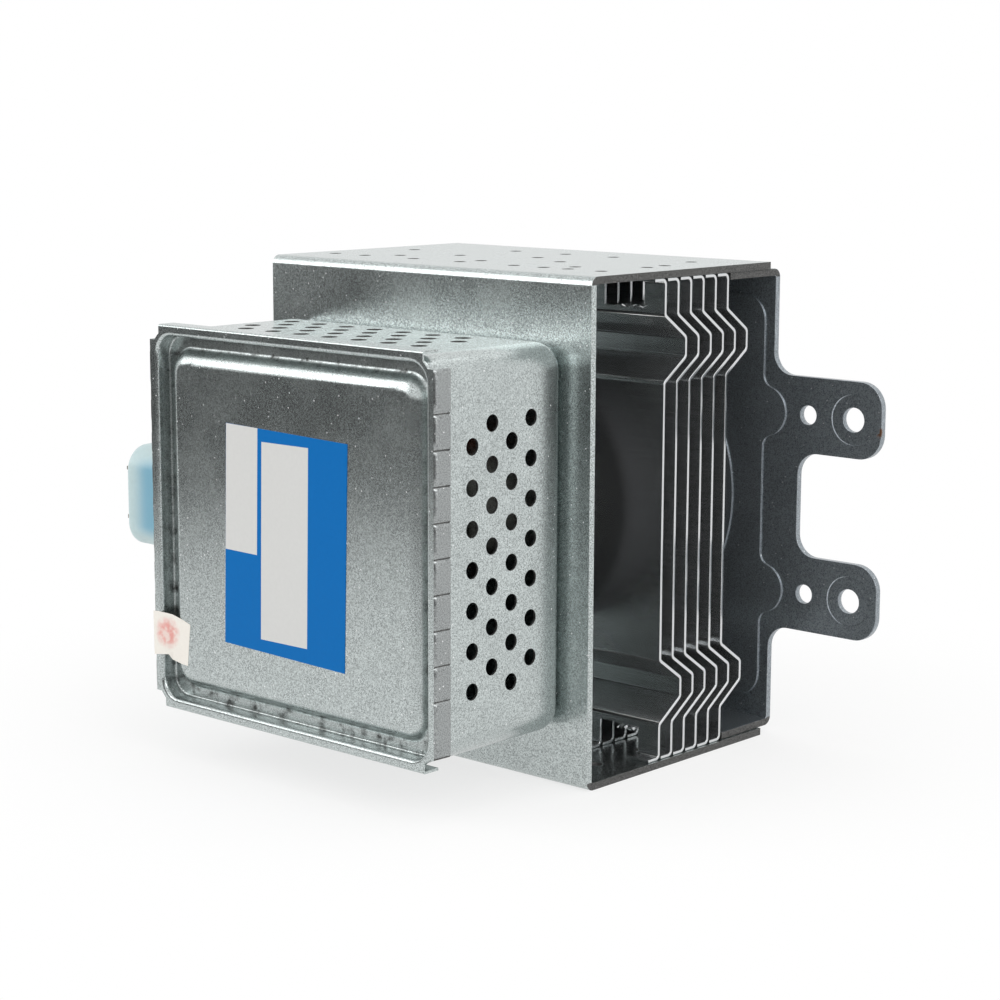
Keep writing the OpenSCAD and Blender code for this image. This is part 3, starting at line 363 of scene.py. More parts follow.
def stamped_paper(name, rgb, ink):
    """Soft white paper with a blurred, patchy red stamp on the part that bridges the rim."""
    made = grained(name, rgb, 0.0, 0.8, 0.6, 0.02, 0.01)
    tree, surface, place, plain = reopened(made)
    away = add(tree, "ShaderNodeVectorMath", {
        0: place, 1: (-34.3 * MM, -93.9 * MM, -23.2 * MM)}, operation="DISTANCE").outputs["Value"]
    disc = add(tree, "ShaderNodeMapRange", {
        "Value": away, "From Min": 1.6 * MM, "From Max": 3.4 * MM, "To Min": 0.62, "To Max": 0.0}).outputs["Result"]
    blots = add(tree, "ShaderNodeTexNoise", {
        "Vector": place, "Scale": 1 / (1.1 * MM), "Detail": 2.0}).outputs["Fac"]
    blots = add(tree, "ShaderNodeMapRange", {
        "Value": blots, "From Min": 0.4, "From Max": 0.62, "To Min": 0.35, "To Max": 1.0}).outputs["Result"]
    cover = calc(tree, "MULTIPLY", disc, blots)
    both = add(tree, "ShaderNodeMix", {
        "Factor": cover, "A": plain, "B": rgba(ink)}, data_type="RGBA").outputs["Result"]
    tree.links.new(both, surface.inputs["Base Color"])
    return made


def finishes():
    """The part's materials by name, made once."""
    tones = bpy.context.scene.magnetron_colours
    if "Zinc-plated steel" not in bpy.data.materials:
        zinc_plated_steel("Zinc-plated steel", tones.zinc, 0.98, 0.26)
        # The staked hems' zinc, darker than the rest
        zinc_plated_steel("Darker hem zinc-plated steel", tones.darker_hem_zinc, 0.98, 0.28)
        # Its groove darkens with dirt and painted shade
        zinc_plated_steel("Dusty shade-painted zinc-plated steel", tones.zinc, 0.98, 0.27, tones.dust_and_shade)
        rusted_plate("Grey zinc-plated steel", tones.slate, tones.rust)
        rolled_aluminium("Rolled aluminium", tones.aluminium)
        milky_moulding("Milky moulding", tones.moulding, tones.tint)
        stamped_paper("Stamped paper", tones.seal_paper, tones.seal_ink)
        # Sheared steel: bare, dark and torn, as the press leaves the cut edge of plated sheet; in the vents and the
        # hems' slits its darkness also serves as painted shade
        grained("Sheared bare steel", tones.sheared, 0.7, 0.55, 0.22, 0.9, 0.12)
        # Printed film: smooth satin plastic with an even ink
        film = grained("Printed film", tones.label_field, 0.0, 0.42, 0.8, 0.02, 0.004)
        film.node_tree.nodes["Principled BSDF"].inputs["Specular IOR Level"].default_value = 0.1
        # Film paper: the unprinted, slightly warm white of the label
        grained("Unprinted film", tones.label_paper, 0.0, 0.42, 0.8, 0.015, 0.004)
        # Sintered ferrite: nearly black and dull, with a fine pressed grain
        grained("Sintered ferrite", tones.ferrite, 0.0, 0.6, 0.8, 0.25, 0.05)
        # Brazed copper: warm metal with a slight matt bloom from the furnace
        grained("Brazed copper", tones.copper, 1.0, 0.34, 1.5, 0.12, 0.02)
        # Dull nickel plating: warm grey metal, softly mirrored
        grained("Nickel plating", tones.nickel, 1.0, 0.26, 1.2, 0.07, 0.015)
        # Fired alumina: off-white and satin, with a faint sandy grain
        grained("Fired alumina", tones.alumina, 0.0, 0.38, 0.5, 0.04, 0.02)
        # Sintered tungsten: dark grey metal with a drawn, dull skin
        grained("Drawn tungsten", tones.tungsten, 1.0, 0.42, 0.4, 0.15, 0.02)
        # Knitted wire: thin plated steel wires that glint where they cross
        grained("Knitted plated wire", tones.knit, 1.0, 0.3, 0.5, 0.1, 0.01)
        # Enamelled wire: brown-red lacquer over copper, glossy
        grained("Enamelled copper wire", tones.enamel, 0.4, 0.25, 0.9, 0.12, 0.01)
    return bpy.data.materials


def softened(node, width, looks, chosen=None, segments=2, reshape=None, cuts=()):
    """A copy of a CAD node with its corners merged and its sharp edges slightly rounded, which replaces it.

    Faces are parted at the heights in cuts. Those for which chosen(middle in mm, normal) is true take the second
    of the two looks, and reshape(point) moves the corners in metres.
    """
    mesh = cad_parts[node].data.copy()
    mesh.materials.clear()
    work = bmesh.new()
    work.from_mesh(mesh)
    bmesh.ops.remove_doubles(work, verts=work.verts, dist=1e-6)
    bmesh.ops.dissolve_limit(
        work, angle_limit=math.radians(0.5), use_dissolve_boundaries=False,
        verts=work.verts, edges=work.edges, delimit=set())
    edges = [e for e in work.edges if len(e.link_faces) == 2 and e.calc_face_angle(0) > SHARP_EDGE]
    bmesh.ops.bevel(
        work, geom=edges, offset=width, offset_type="OFFSET", segments=segments, profile=0.5,
        affect="EDGES", clamp_overlap=True, loop_slide=True)
    if reshape:
        for vert in work.verts:
            reshape(vert.co)
    for height in cuts:
        bmesh.ops.bisect_plane(
            work, geom=[*work.verts, *work.edges, *work.faces], plane_co=(0, 0, height * MM), plane_no=(0, 0, 1))
    work.normal_update()
    for face in work.faces:
        face.smooth = True
        face.material_index = int(bool(chosen and chosen(face.calc_center_median() / MM, face.normal)))
    work.to_mesh(mesh)
    work.free()
    mesh.name = node + "_shape"
    return placed(node, mesh, looks, node)


def placed(name, mesh, looks, *nodes):
    """A piece made from a mesh, with its finishes, riding on the root body in place of the named nodes."""
    piece = bpy.data.objects.new(name + "_skin", mesh)
    bpy.context.scene.collection.objects.link(piece)
    for look in looks:
        mesh.materials.append(look)
    mesh.set_sharp_from_angle(angle=CRISP_EDGE)
    weigh = piece.modifiers.new("Even shading", "WEIGHTED_NORMAL")
    weigh.keep_sharp = True
    flatten(piece)
    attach(piece, "root")
    if nodes:
        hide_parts(*nodes)
    return piece


def flatten(piece):
    """Turns a piece's modifiers into its plain mesh."""
    graph = bpy.context.evaluated_depsgraph_get()
    solid = bpy.data.meshes.new_from_object(piece.evaluated_get(graph))
    piece.modifiers.clear()
    piece.data = solid


def grown(name, group, values):
    """The mesh that a geometry node group makes from the given values of its named inputs."""
    piece = bpy.data.objects.new(name, bpy.data.meshes.new(name))
    bpy.context.scene.collection.objects.link(piece)
    maker = piece.modifiers.new(name, "NODES")
    maker.node_group = group
    for item in group.interface.items_tree:
        if item.in_out == "INPUT" and item.name in values:
            maker[item.identifier] = values[item.name]
    flatten(piece)
    mesh = piece.data
    bpy.data.objects.remove(piece)
    for face in mesh.polygons:
        face.use_smooth = True
    return mesh


def node_group(name, inputs):
    """An empty geometry node group with named inputs, its input and output nodes' sockets returned."""
    tree = bpy.data.node_groups.new(name, "GeometryNodeTree")
    tree.interface.new_socket(name="Geometry", in_out="OUTPUT", socket_type="NodeSocketGeometry")
    for label, kind in inputs:
        tree.interface.new_socket(name=label, in_out="INPUT", socket_type=kind)
    given = tree.nodes.new("NodeGroupInput").outputs
    return tree, given, tree.nodes.new("NodeGroupOutput")


def staked_hem():
    """Node group: a row of hem lengths, each pressed in at its two ends by the staking tool."""
    tree, given, result = node_group("Staked hem", [
        ("Count", "NodeSocketInt"), ("Pitch", "NodeSocketFloat"), ("First", "NodeSocketFloat"),
        ("Width", "NodeSocketFloat"), ("Reach", "NodeSocketFloat"), ("Ledge", "NodeSocketFloat"),
        ("Skin", "NodeSocketFloat"), ("Depth", "NodeSocketFloat"), ("Slit", "NodeSocketFloat"),
        ("Finish", "NodeSocketMaterial"), ("Cut", "NodeSocketMaterial")])
    size = add(tree, "ShaderNodeCombineXYZ", {"X": given["Skin"], "Y": given["Width"], "Z": given["Pitch"]})
    block = add(tree, "GeometryNodeMeshCube", {
        "Size": size.outputs["Vector"], "Vertices X": 2, "Vertices Y": 12, "Vertices Z": 64}).outputs["Mesh"]
    half = add(tree, "ShaderNodeVectorMath", {
        0: size.outputs["Vector"], 1: (-0.5, 0.5, 0.5)}, operation="MULTIPLY").outputs["Vector"]
    block = add(tree, "GeometryNodeTransform", {"Geometry": block, "Translation": half}).outputs["Geometry"]
    at = add(tree, "ShaderNodeSeparateXYZ", {
        "Vector": add(tree, "GeometryNodeInputPosition").outputs["Position"]}).outputs
    back = calc(tree, "DIVIDE", at["Y"], given["Width"])
    # The dent is long at the fold and runs out towards the hem's free edge
    share = calc(tree, "MULTIPLY_ADD", back, -0.85, 1.0)
    reach = calc(tree, "MULTIPLY", given["Reach"], share)
    above = add(tree, "ShaderNodeMapRange", {
        "Value": at["Z"], "From Max": reach, "To Min": 1.0, "To Max": 0.0}).outputs["Result"]
    depth = calc(tree, "SUBTRACT", given["Pitch"], at["Z"])
    # Below the cut a steep ledge comes first, and then a slope back to the hem's face
    ledge = add(tree, "ShaderNodeMapRange", {
        "Value": depth, "From Max": given["Ledge"], "To Min": 0.55, "To Max": 0.0}).outputs["Result"]
    below = add(tree, "ShaderNodeMapRange", {
        "Value": depth, "From Max": reach, "To Min": 0.45, "To Max": 0.0}).outputs["Result"]
    dent = calc(tree, "ADD", above, ledge)
    dent = calc(tree, "ADD", dent, below)
    fade = calc(tree, "MULTIPLY_ADD", back, -0.4, 1.0)
    dent = calc(tree, "MULTIPLY", dent, fade)
    dent = calc(tree, "MULTIPLY", dent, given["Depth"])
    # The fold's own round
    turn = add(tree, "ShaderNodeMapRange", {
        "Value": back, "From Min": 0.0, "From Max": 0.13, "To Min": 1.0, "To Max": 0.0}).outputs["Result"]
    turn = calc(tree, "POWER", turn, 2.0)
    turn = calc(tree, "MULTIPLY", turn, given["Skin"])
    deep = calc(tree, "MULTIPLY_ADD", turn, 0.8, dent)
    limit = calc(tree, "MULTIPLY", given["Skin"], 0.96)
    deep = calc(tree, "MINIMUM", deep, limit)
    move = add(tree, "ShaderNodeCombineXYZ", {
        "X": calc(tree, "MULTIPLY", deep, -1.0)}).outputs["Vector"]
    middle = calc(tree, "MULTIPLY", given["Skin"], -0.5)
    outer = add(tree, "FunctionNodeCompare", {"A": at["X"], "B": middle}, operation="GREATER_THAN").outputs["Result"]
    block = add(tree, "GeometryNodeSetPosition", {
        "Geometry": block, "Selection": outer, "Offset": move}).outputs["Geometry"]
    step = calc(tree, "MULTIPLY", given["Pitch"], -1.0)
    row = add(tree, "GeometryNodeMeshLine", {
        "Count": given["Count"],
        "Offset": add(tree, "ShaderNodeCombineXYZ", {"Z": step}).outputs["Vector"]}).outputs["Mesh"]
    index = add(tree, "GeometryNodeInputIndex").outputs["Index"]
    later = calc(tree, "GREATER_THAN", index, 0.5)
    tall = add(tree, "ShaderNodeMapRange", {
        "Value": later, "To Min": given["First"], "To Max": 1.0}).outputs["Result"]
    scale = add(tree, "ShaderNodeCombineXYZ", {"X": 1.0, "Y": 1.0, "Z": tall}).outputs["Vector"]
    made = add(tree, "GeometryNodeInstanceOnPoints", {
        "Points": row, "Instance": block, "Scale": scale}).outputs["Instances"]
    made = add(tree, "GeometryNodeRealizeInstances", {"Geometry": made}).outputs["Geometry"]
    made = add(tree, "GeometryNodeSetMaterial", {
        "Geometry": made, "Material": given["Finish"]}).outputs["Geometry"]
    # Painted shade in the slit right above each cut, on the torn edge
    whole = add(tree, "ShaderNodeSeparateXYZ", {
        "Vector": add(tree, "GeometryNodeInputPosition").outputs["Position"]}).outputs["Z"]
    part = calc(tree, "FLOORED_MODULO", whole, given["Pitch"])
    torn_and_shaded = calc(tree, "LESS_THAN", part, given["Slit"])
    under = calc(tree, "LESS_THAN", whole, given["Slit"])
    torn_and_shaded = calc(tree, "MULTIPLY", torn_and_shaded, under)
    made = add(tree, "GeometryNodeSetMaterial", {
        "Geometry": made, "Selection": torn_and_shaded, "Material": given["Cut"]}).outputs["Geometry"]
    tree.links.new(made, result.inputs["Geometry"])
    return tree


def knitted_ring():
    """Node group: wire loops round a ring's section, tilted left and right in turn so that they cross."""
    tree, given, result = node_group("Knitted ring", [
        ("Loops", "NodeSocketInt"), ("Radius", "NodeSocketFloat"), ("Width", "NodeSocketFloat"),
        ("Height", "NodeSocketFloat"), ("Round", "NodeSocketFloat"), ("Wire", "NodeSocketFloat"),
        ("Tilt", "NodeSocketFloat"), ("Finish", "NodeSocketMaterial")])
    loop = add(tree, "GeometryNodeCurvePrimitiveQuadrilateral", {
        "Width": given["Width"], "Height": given["Height"]}).outputs["Curve"]
    loop = add(tree, "GeometryNodeFilletCurve", {
        "Curve": loop, "Count": 4, "Radius": given["Round"]}, mode="POLY").outputs["Curve"]
    loop = add(tree, "GeometryNodeTransform", {
        "Geometry": loop, "Rotation": (math.pi / 2, 0, 0)}).outputs["Geometry"]
    ring = add(tree, "GeometryNodeMeshCircle", {
        "Vertices": given["Loops"], "Radius": given["Radius"]}).outputs["Mesh"]
    index = add(tree, "GeometryNodeInputIndex").outputs["Index"]
    share = calc(tree, "DIVIDE", index, given["Loops"])
    angle = calc(tree, "MULTIPLY", share, 2 * math.pi)
    other = calc(tree, "MODULO", index, 2.0)
    lean = calc(tree, "MULTIPLY_ADD", other, 2.0, -1.0)
    lean = calc(tree, "MULTIPLY", lean, given["Tilt"])
    turn = add(tree, "ShaderNodeCombineXYZ", {"X": lean, "Z": angle}).outputs["Vector"]
    made = add(tree, "GeometryNodeInstanceOnPoints", {
        "Points": ring, "Instance": loop, "Rotation": turn}).outputs["Instances"]
    made = add(tree, "GeometryNodeRealizeInstances", {"Geometry": made}).outputs["Geometry"]
    section = add(tree, "GeometryNodeCurvePrimitiveCircle", {
        "Resolution": 5, "Radius": given["Wire"]}).outputs["Curve"]
    made = add(tree, "GeometryNodeCurveToMesh", {"Curve": made, "Profile Curve": section}).outputs["Mesh"]
    made = add(tree, "GeometryNodeSetMaterial", {
        "Geometry": made, "Material": given["Finish"]}).outputs["Geometry"]
    tree.links.new(made, result.inputs["Geometry"])
    return tree


def tightened(point, middle):
    """Moves a point at a corner of the lid's panel from the solid's wide corner round to the pressed, tight one."""
    half, wide, tight = (33.3 * MM, 32.6 * MM), 8.4 * MM, 4.6 * MM
    over = [abs(point[k] - middle[k]) - (reach - wide) for k, reach in zip((0, 2), half)]
    out = math.hypot(*over)
    if min(over) <= 0 or out > wide + 1.2 * MM:
        return
    turn = math.atan2(over[1], over[0]) / (math.pi / 2)
    run, radius = wide - tight, out - (wide - tight)
    # A share of the old round becomes straight at each end, and the rest turns about the new centre
    angle = math.pi / 2 * min(1.0, max(0.0, (turn - 0.15) / 0.7))
    over[0] = run * min(1.0, (1 - turn) / 0.15) + radius * math.cos(angle)
    over[1] = run * min(1.0, turn / 0.15) + radius * math.sin(angle)
    for k, reach, away in zip((0, 2), half, over):
        point[k] = middle[k] + math.copysign(reach - wide + away, point[k] - middle[k])


def slab(name, outline, front, back):
    """A closed plate between two depths, from an outline of x and z in millimetres given anticlockwise."""
    count = len(outline)
    points = [(x * MM, y * MM, z * MM) for y in (front, back) for x, z in outline]
    sides = [(i, i + count, (i + 1) % count + count, (i + 1) % count) for i in range(count)]
    mesh = bpy.data.meshes.new(name)
    mesh.from_pydata(points, [], [tuple(range(count)), tuple(reversed(range(count, 2 * count))), *sides])
    return mesh


def ribbon(name, rows, thickness):
    """A closed sheet through two rows of points in millimetres, thickened along the sheet's normal."""
    first, second = ([Vector(p) * MM for p in row] for row in rows)
    count = len(first)
    shell = []
    for side in (0, 1):
        for row, other in ((first, second), (second, first)):
            for i, point in enumerate(row):
                along = row[min(i + 1, count - 1)] - row[max(i - 1, 0)]
                across = (other[i] - point) * (1 if row is first else -1)
                shell.append(point + side * thickness * MM * along.cross(across).normalized())
    low, high = 0, 2 * count
    faces = []
    for i in range(count - 1):
        faces.append((low + i, low + count + i, low + count + i + 1, low + i + 1))
        faces.append((high + i, high + i + 1, high + count + i + 1, high + count + i))
        faces.append((low + i, low + i + 1, high + i + 1, high + i))
        faces.append((low + count + i, high + count + i, high + count + i + 1, low + count + i + 1))
    last = count - 1
    faces.append((low, high, high + count, low + count))
    faces.append((low + last, low + count + last, high + count + last, high + last))
    mesh = bpy.data.meshes.new(name)
    mesh.from_pydata([tuple(p) for p in shell], [], faces)
    work = bmesh.new()
    work.from_mesh(mesh)
    bmesh.ops.recalc_face_normals(work, faces=work.faces)
    work.to_mesh(mesh)
    work.free()
    return mesh


def dress(finish, *nodes):
    """Gives CAD nodes that keep their shape a better material."""
    for node in nodes:
        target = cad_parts[node].data
        target.materials.clear()
        target.materials.append(finish)


class MAGNETRON_OT_stage(bpy.types.Operator):
    """Make the floor, the studio light and the camera"""

    bl_idname = "magnetron.stage"
    bl_label = "Stage"

    def execute(self, context):
        setup = context.scene.magnetron_stage
        tones = context.scene.magnetron_colours
        context.scene.view_settings.view_transform = "Standard"
        low = CAD_BOX[0][2]

        world = bpy.data.worlds.new("White studio")
        context.scene.world = world
        world.use_nodes = True
        tree = world.node_tree
        tree.nodes.clear()
        level = add(tree, "ShaderNodeMapRange", {
            "Value": seen_plainly(tree), "To Min": setup.ambient, "To Max": 1.0}).outputs["Result"]
        sky = add(tree, "ShaderNodeBackground", {"Color": (1, 1, 1, 1), "Strength": level})
        add(tree, "ShaderNodeOutputWorld", {"Surface": sky.outputs["Background"]})

        # White paper: matt, and lost in the white of the studio further out
        paper, tree, surface, place = started("White paper sweep")
        surface.inputs["Roughness"].default_value = 0.9
        surface.inputs["Specular IOR Level"].default_value = 0.0
        fibre = add(tree, "ShaderNodeTexNoise", {"Vector": place, "Scale": 1 / (1.5 * MM)}).outputs["Fac"]
        tree.links.new(ramp(tree, fibre, [
            (0.3, rgba(tones.floor, 0.985)), (0.7, rgba(tones.floor))]), surface.inputs["Base Color"])
        far = add(tree, "ShaderNodeVectorMath", {
            0: place, 1: (0, -30 * MM, low)}, operation="DISTANCE").outputs["Value"]
        far = add(tree, "ShaderNodeMapRange", {
            "Value": far, "From Min": 50 * MM, "From Max": 150 * MM, "To Min": 0.72, "To Max": 1.0},
            interpolation_type="SMOOTHSTEP").outputs["Result"]
        share = calc(tree, "MULTIPLY", seen_plainly(tree), far)
        white = add(tree, "ShaderNodeEmission", {"Color": (1, 1, 1, 1), "Strength": 1.0})
        both = add(tree, "ShaderNodeMixShader", {
            0: share, 1: surface.outputs["BSDF"], 2: white.outputs["Emission"]})
        output = next(n for n in tree.nodes if n.type == "OUTPUT_MATERIAL")
        tree.links.new(both.outputs["Shader"], output.inputs["Surface"])
        sheet = bpy.data.meshes.new("Floor")
        sheet.from_pydata(
            [(x * 6, y * 6, low) for x, y in ((-1, -1), (1, -1), (1, 1), (-1, 1))], [], [(0, 1, 2, 3)])
        floor = bpy.data.objects.new("Floor", sheet)
        sheet.materials.append(paper)
        context.scene.collection.objects.link(floor)

        # Grey card: what the front faces mirror above the paper
        tone, tree, surface, place = started("Grey studio card")
        surface.inputs["Roughness"].default_value = 1.0
        surface.inputs["Specular IOR Level"].default_value = 0.0
        cloth = add(tree, "ShaderNodeTexNoise", {"Vector": place, "Scale": 1 / (40 * MM)}).outputs["Fac"]
        tree.links.new(ramp(tree, cloth, [
            (0.3, rgba([setup.card] * 3, 0.9)), (0.7, rgba([setup.card] * 3, 1.1))]), surface.inputs["Base Color"])
        # It stands in an arc on the paper, from the left round past the camera's side
        radius, height, steps = 0.29, 0.1, 26
        turns = [math.radians(-152 + 5 * i) for i in range(steps + 1)]
        rim = [(radius * math.cos(t), radius * math.sin(t) - 0.06) for t in turns]
        sheet = bpy.data.meshes.new("Card")
        sheet.from_pydata(
            [(x, y, low) for x, y in rim] + [(x, y, low + height) for x, y in rim], [],
            [(i, i + 1, i + steps + 2, i + steps + 1) for i in range(steps)])
        sheet.materials.append(tone)
        card = bpy.data.objects.new("Card", sheet)
        context.scene.collection.objects.link(card)
        card.visible_camera = False
        card.visible_shadow = False
        card.visible_diffuse = False

        for name, place, size, power in (
                ("Overhead soft box", (0.1, 0.1, 0.75), 0.7, setup.key),
                ("Front soft box", (-0.53, -0.67, 0.46), 0.6, setup.fill),
                ("Right soft box", (0.7, -0.15, 0.4), 0.6, setup.side)):
            lamp = bpy.data.lights.new(name, "AREA")
            lamp.shape = "SQUARE"
            lamp.size = size
            lamp.energy = power
            source = bpy.data.objects.new(name, lamp)
            source.location = place
            aim = Vector((0, -0.04, 0)) - Vector(place)
            source.rotation_euler = aim.to_track_quat("-Z", "Y").to_euler()
            context.scene.collection.objects.link(source)

        turn, rise, roll = setup.azimuth, setup.elevation, setup.roll
        back = Vector((math.sin(turn) * math.cos(rise), -math.cos(turn) * math.cos(rise), math.sin(rise)))
        right = Vector((math.cos(turn), math.sin(turn), 0))
        up = back.cross(right)
        level_x = math.cos(roll) * right + math.sin(roll) * up
        level_y = math.cos(roll) * up - math.sin(roll) * right
        lens = bpy.data.cameras.new("Camera")
        lens.lens = setup.lens
        lens.sensor_width = 36
        lens.clip_start = 0.01
        camera = bpy.data.objects.new("Camera", lens)
        axes = Matrix((level_x, level_y, back)).transposed().to_4x4()
        camera.matrix_world = Matrix.Translation(setup.eye) @ axes
        context.scene.collection.objects.link(camera)
        context.scene.camera = camera
        return {"FINISHED"}


class MAGNETRON_OT_frame(bpy.types.Operator):
    """Dress the yoke and the mounting plate"""

    bl_idname = "magnetron.frame"
    bl_label = "Yoke and plate"

    def execute(self, context):
        sizes = context.scene.magnetron_sizes
        looks = finishes()
        sheared = looks["Sheared bare steel"]
        # Heights in millimetres just outside of which the yoke's walls and the plate's flanges lie
        wall, flange, slack = 45.95, 44.45, 0.05

        def wall_cut(middle, normal):
            """Whether a yoke face is the sheared edge of a wall or of a hole in it."""
            at_wall = abs(middle.z) > wall - slack and abs(normal.z) < 0.5
            return at_wall and (abs(normal.x) > 0.5 or middle.y > -56)

        def flange_cut(middle, normal):
            """Whether a plate face is the sheared edge of one of its flanges."""
            return abs(middle.z) > flange - slack and abs(normal.z) < 0.5 and middle.y < -2

        yoke = softened("yoke_frame", sizes.edge, [looks["Zinc-plated steel"], sheared], wall_cut,
                        cuts=(-wall, wall))
        plate = softened("mounting_plate", sizes.edge, [looks["Grey zinc-plated steel"], sheared], flange_cut,
                         cuts=(-flange, flange))
        return {"FINISHED"}


class MAGNETRON_OT_fins(bpy.types.Operator):
    """Dress the cooling fins"""

    bl_idname = "magnetron.fins"
    bl_label = "Cooling fins"

    def execute(self, context):
        sizes = context.scene.magnetron_sizes
        looks = finishes()
        for node in FINS:
            softened(node, sizes.fin_edge, [looks["Rolled aluminium"]])
        # Burrs torn up along the notches of the first fin
        for name, z, lift in (("upper_burr", 40.4, 1), ("lower_burr", -40.5, -1)):
            inner = [(31.6 + 0.38 * i, -36.5, z) for i in range(13)]
            outer = [(31.6 + 0.38 * i, -36.9 - 0.5 * abs(math.sin(1.7 * i)) - 0.3 * abs(math.sin(0.9 * i + 1)),
                      z + lift * (0.35 + 0.3 * math.sin(2.3 * i + 0.5))) for i in range(13)]
            placed(name, ribbon(name, (inner, outer), 0.2), [looks["Rolled aluminium"]])
        return {"FINISHED"}


class MAGNETRON_OT_filter(bpy.types.Operator):
    """Dress the filter box, its lid and the feed-through capacitor"""

    bl_idname = "magnetron.filter"
    bl_label = "Filter box"

    def execute(self, context):
        sizes = context.scene.magnetron_sizes
        looks = finishes()
        zinc, darker_hem_zinc = looks["Zinc-plated steel"], looks["Darker hem zinc-plated steel"]
        # The sheared steel is also the painted shade in the vents and in the hems' slits
        torn_and_shaded = looks["Sheared bare steel"]

        def vent_cut(middle, normal):
            """Whether a box face is the sheared wall of a vent, whose dark steel also paints the shade inside the
            vent.
            """
            return (middle.z > 34.9 and abs(normal.z) < 0.5) or (middle.x > 35.6 and abs(normal.x) < 0.5)

        def pressed_in(middle, normal):
            """Whether a lid face lies inside the rim, where dirt and painted shade darken the groove."""
            return abs(middle.x - LID_MIDDLE[0]) < 36.0 and abs(middle.z - LID_MIDDLE[2]) < 35.9

        softened("filter_box", sizes.edge, [zinc, torn_and_shaded], vent_cut)
        middle = Vector(LID_MIDDLE) * MM
        inner = (HEM_OUT + 0.01) * MM - sizes.hem_skin

        def formed(point):
            """Tightens the panel's corners, flattens the rim under the seal and thins the staked hems."""
            tightened(point, middle)
            point.y = max(point.y, LID_FRONT * MM)
            off = point.x - middle.x
            if abs(off) > inner:
                point.x = middle.x + math.copysign(inner, off)

        lid = softened("filter_lid", sizes.fin_edge, [zinc, looks["Dusty shade-painted zinc-plated steel"]], pressed_in,
                       reshape=formed)
        # Heights of the first and the last cut from the lid's middle
        top, low = 26.4, -24.0
        row = {"Count": sizes.stakes, "Pitch": sizes.stake_pitch, "First": (HEM_HALF - top) * MM / sizes.stake_pitch,
               "Width": 3.8 * MM, "Reach": 1.6 * MM, "Ledge": 0.3 * MM, "Skin": sizes.hem_skin,
               "Depth": sizes.stake_depth, "Slit": 0.3 * MM, "Finish": darker_hem_zinc, "Cut": torn_and_shaded}
        tail = dict(row, Count=1, First=(HEM_HALF + low) * MM / sizes.stake_pitch)
        group = staked_hem()
        for name, turn in (("right_stakes", 0.0), ("left_stakes", math.pi)):
            work = bmesh.new()
            for values, z in ((row, top), (tail, -HEM_HALF)):
                mesh = grown(name, group, values)
                for face in mesh.polygons:
                    face.material_index = int(mesh.materials[face.material_index] == torn_and_shaded)
                mesh.transform(Matrix.Translation(Vector((HEM_OUT, 0, z)) * MM))
                work.from_mesh(mesh)
            mesh = bpy.data.meshes.new(name)
            work.to_mesh(mesh)
            work.free()
            mesh.transform(Matrix.Translation(middle) @ Matrix.Rotation(turn, 4, "Y"))
            placed(name, mesh, [darker_hem_zinc, torn_and_shaded])
        softened("capacitor_insulator", 4 * sizes.edge, [looks["Milky moulding"]], segments=4)
        for node in ("capacitor_flange", "capacitor_rivets", "upper_supply_tab", "lower_supply_tab"):
            softened(node, sizes.fin_edge, [looks["Nickel plating"]])
        return {"FINISHED"}


class MAGNETRON_OT_label(bpy.types.Operator):
    """Lay the label and the torn paper seal on the lid"""

    bl_idname = "magnetron.label"
    bl_label = "Label and seal"

    def execute(self, context):
        sizes = context.scene.magnetron_sizes
        looks = finishes()
        face = -93.4
        front = face - sizes.label_t / MM
        field = [(-18, -22.5), (14.1, -23.3), (15.2, 18.5), (-16.8, 19.3)]
        narrow = [(-17.45, -4.5), (-8.8, -4.6), (-8.2, 19.1), (-16.75, 19.28)]
        wide = [(-8, -20.4), (4.4, -20.3), (5.2, 16.8), (-7.15, 16.7)]
        placed("label_field", slab("label_field", field, front, face + 0.05), [looks["Printed film"]])
        for name, outline in (("label_strip", narrow), ("label_window", wide)):
            placed(name, slab(name, outline, front - 0.012, front + 0.02), [looks["Unprinted film"]])
        # The seal runs from the rim's left edge over the groove on to the panel
        upper = [(-38.0, -94.22, -19.3), (-36.4, -94.24, -19.2), (-34.0, -93.95, -19.3), (-33.2, -93.5, -19.5),
                 (-30.4, -93.45, -20.1), (-28.1, -93.45, -20.8)]
        lower = [(-37.9, -94.22, -27.9), (-36.4, -94.24, -27.7), (-34.0, -93.95, -27.4), (-33.4, -93.5, -28.4),
                 (-30.6, -93.45, -28.9), (-29.0, -93.45, -29.0)]
        placed("paper_seal", ribbon("paper_seal", (upper, lower), 0.06), [looks["Stamped paper"]])
        return {"FINISHED"}


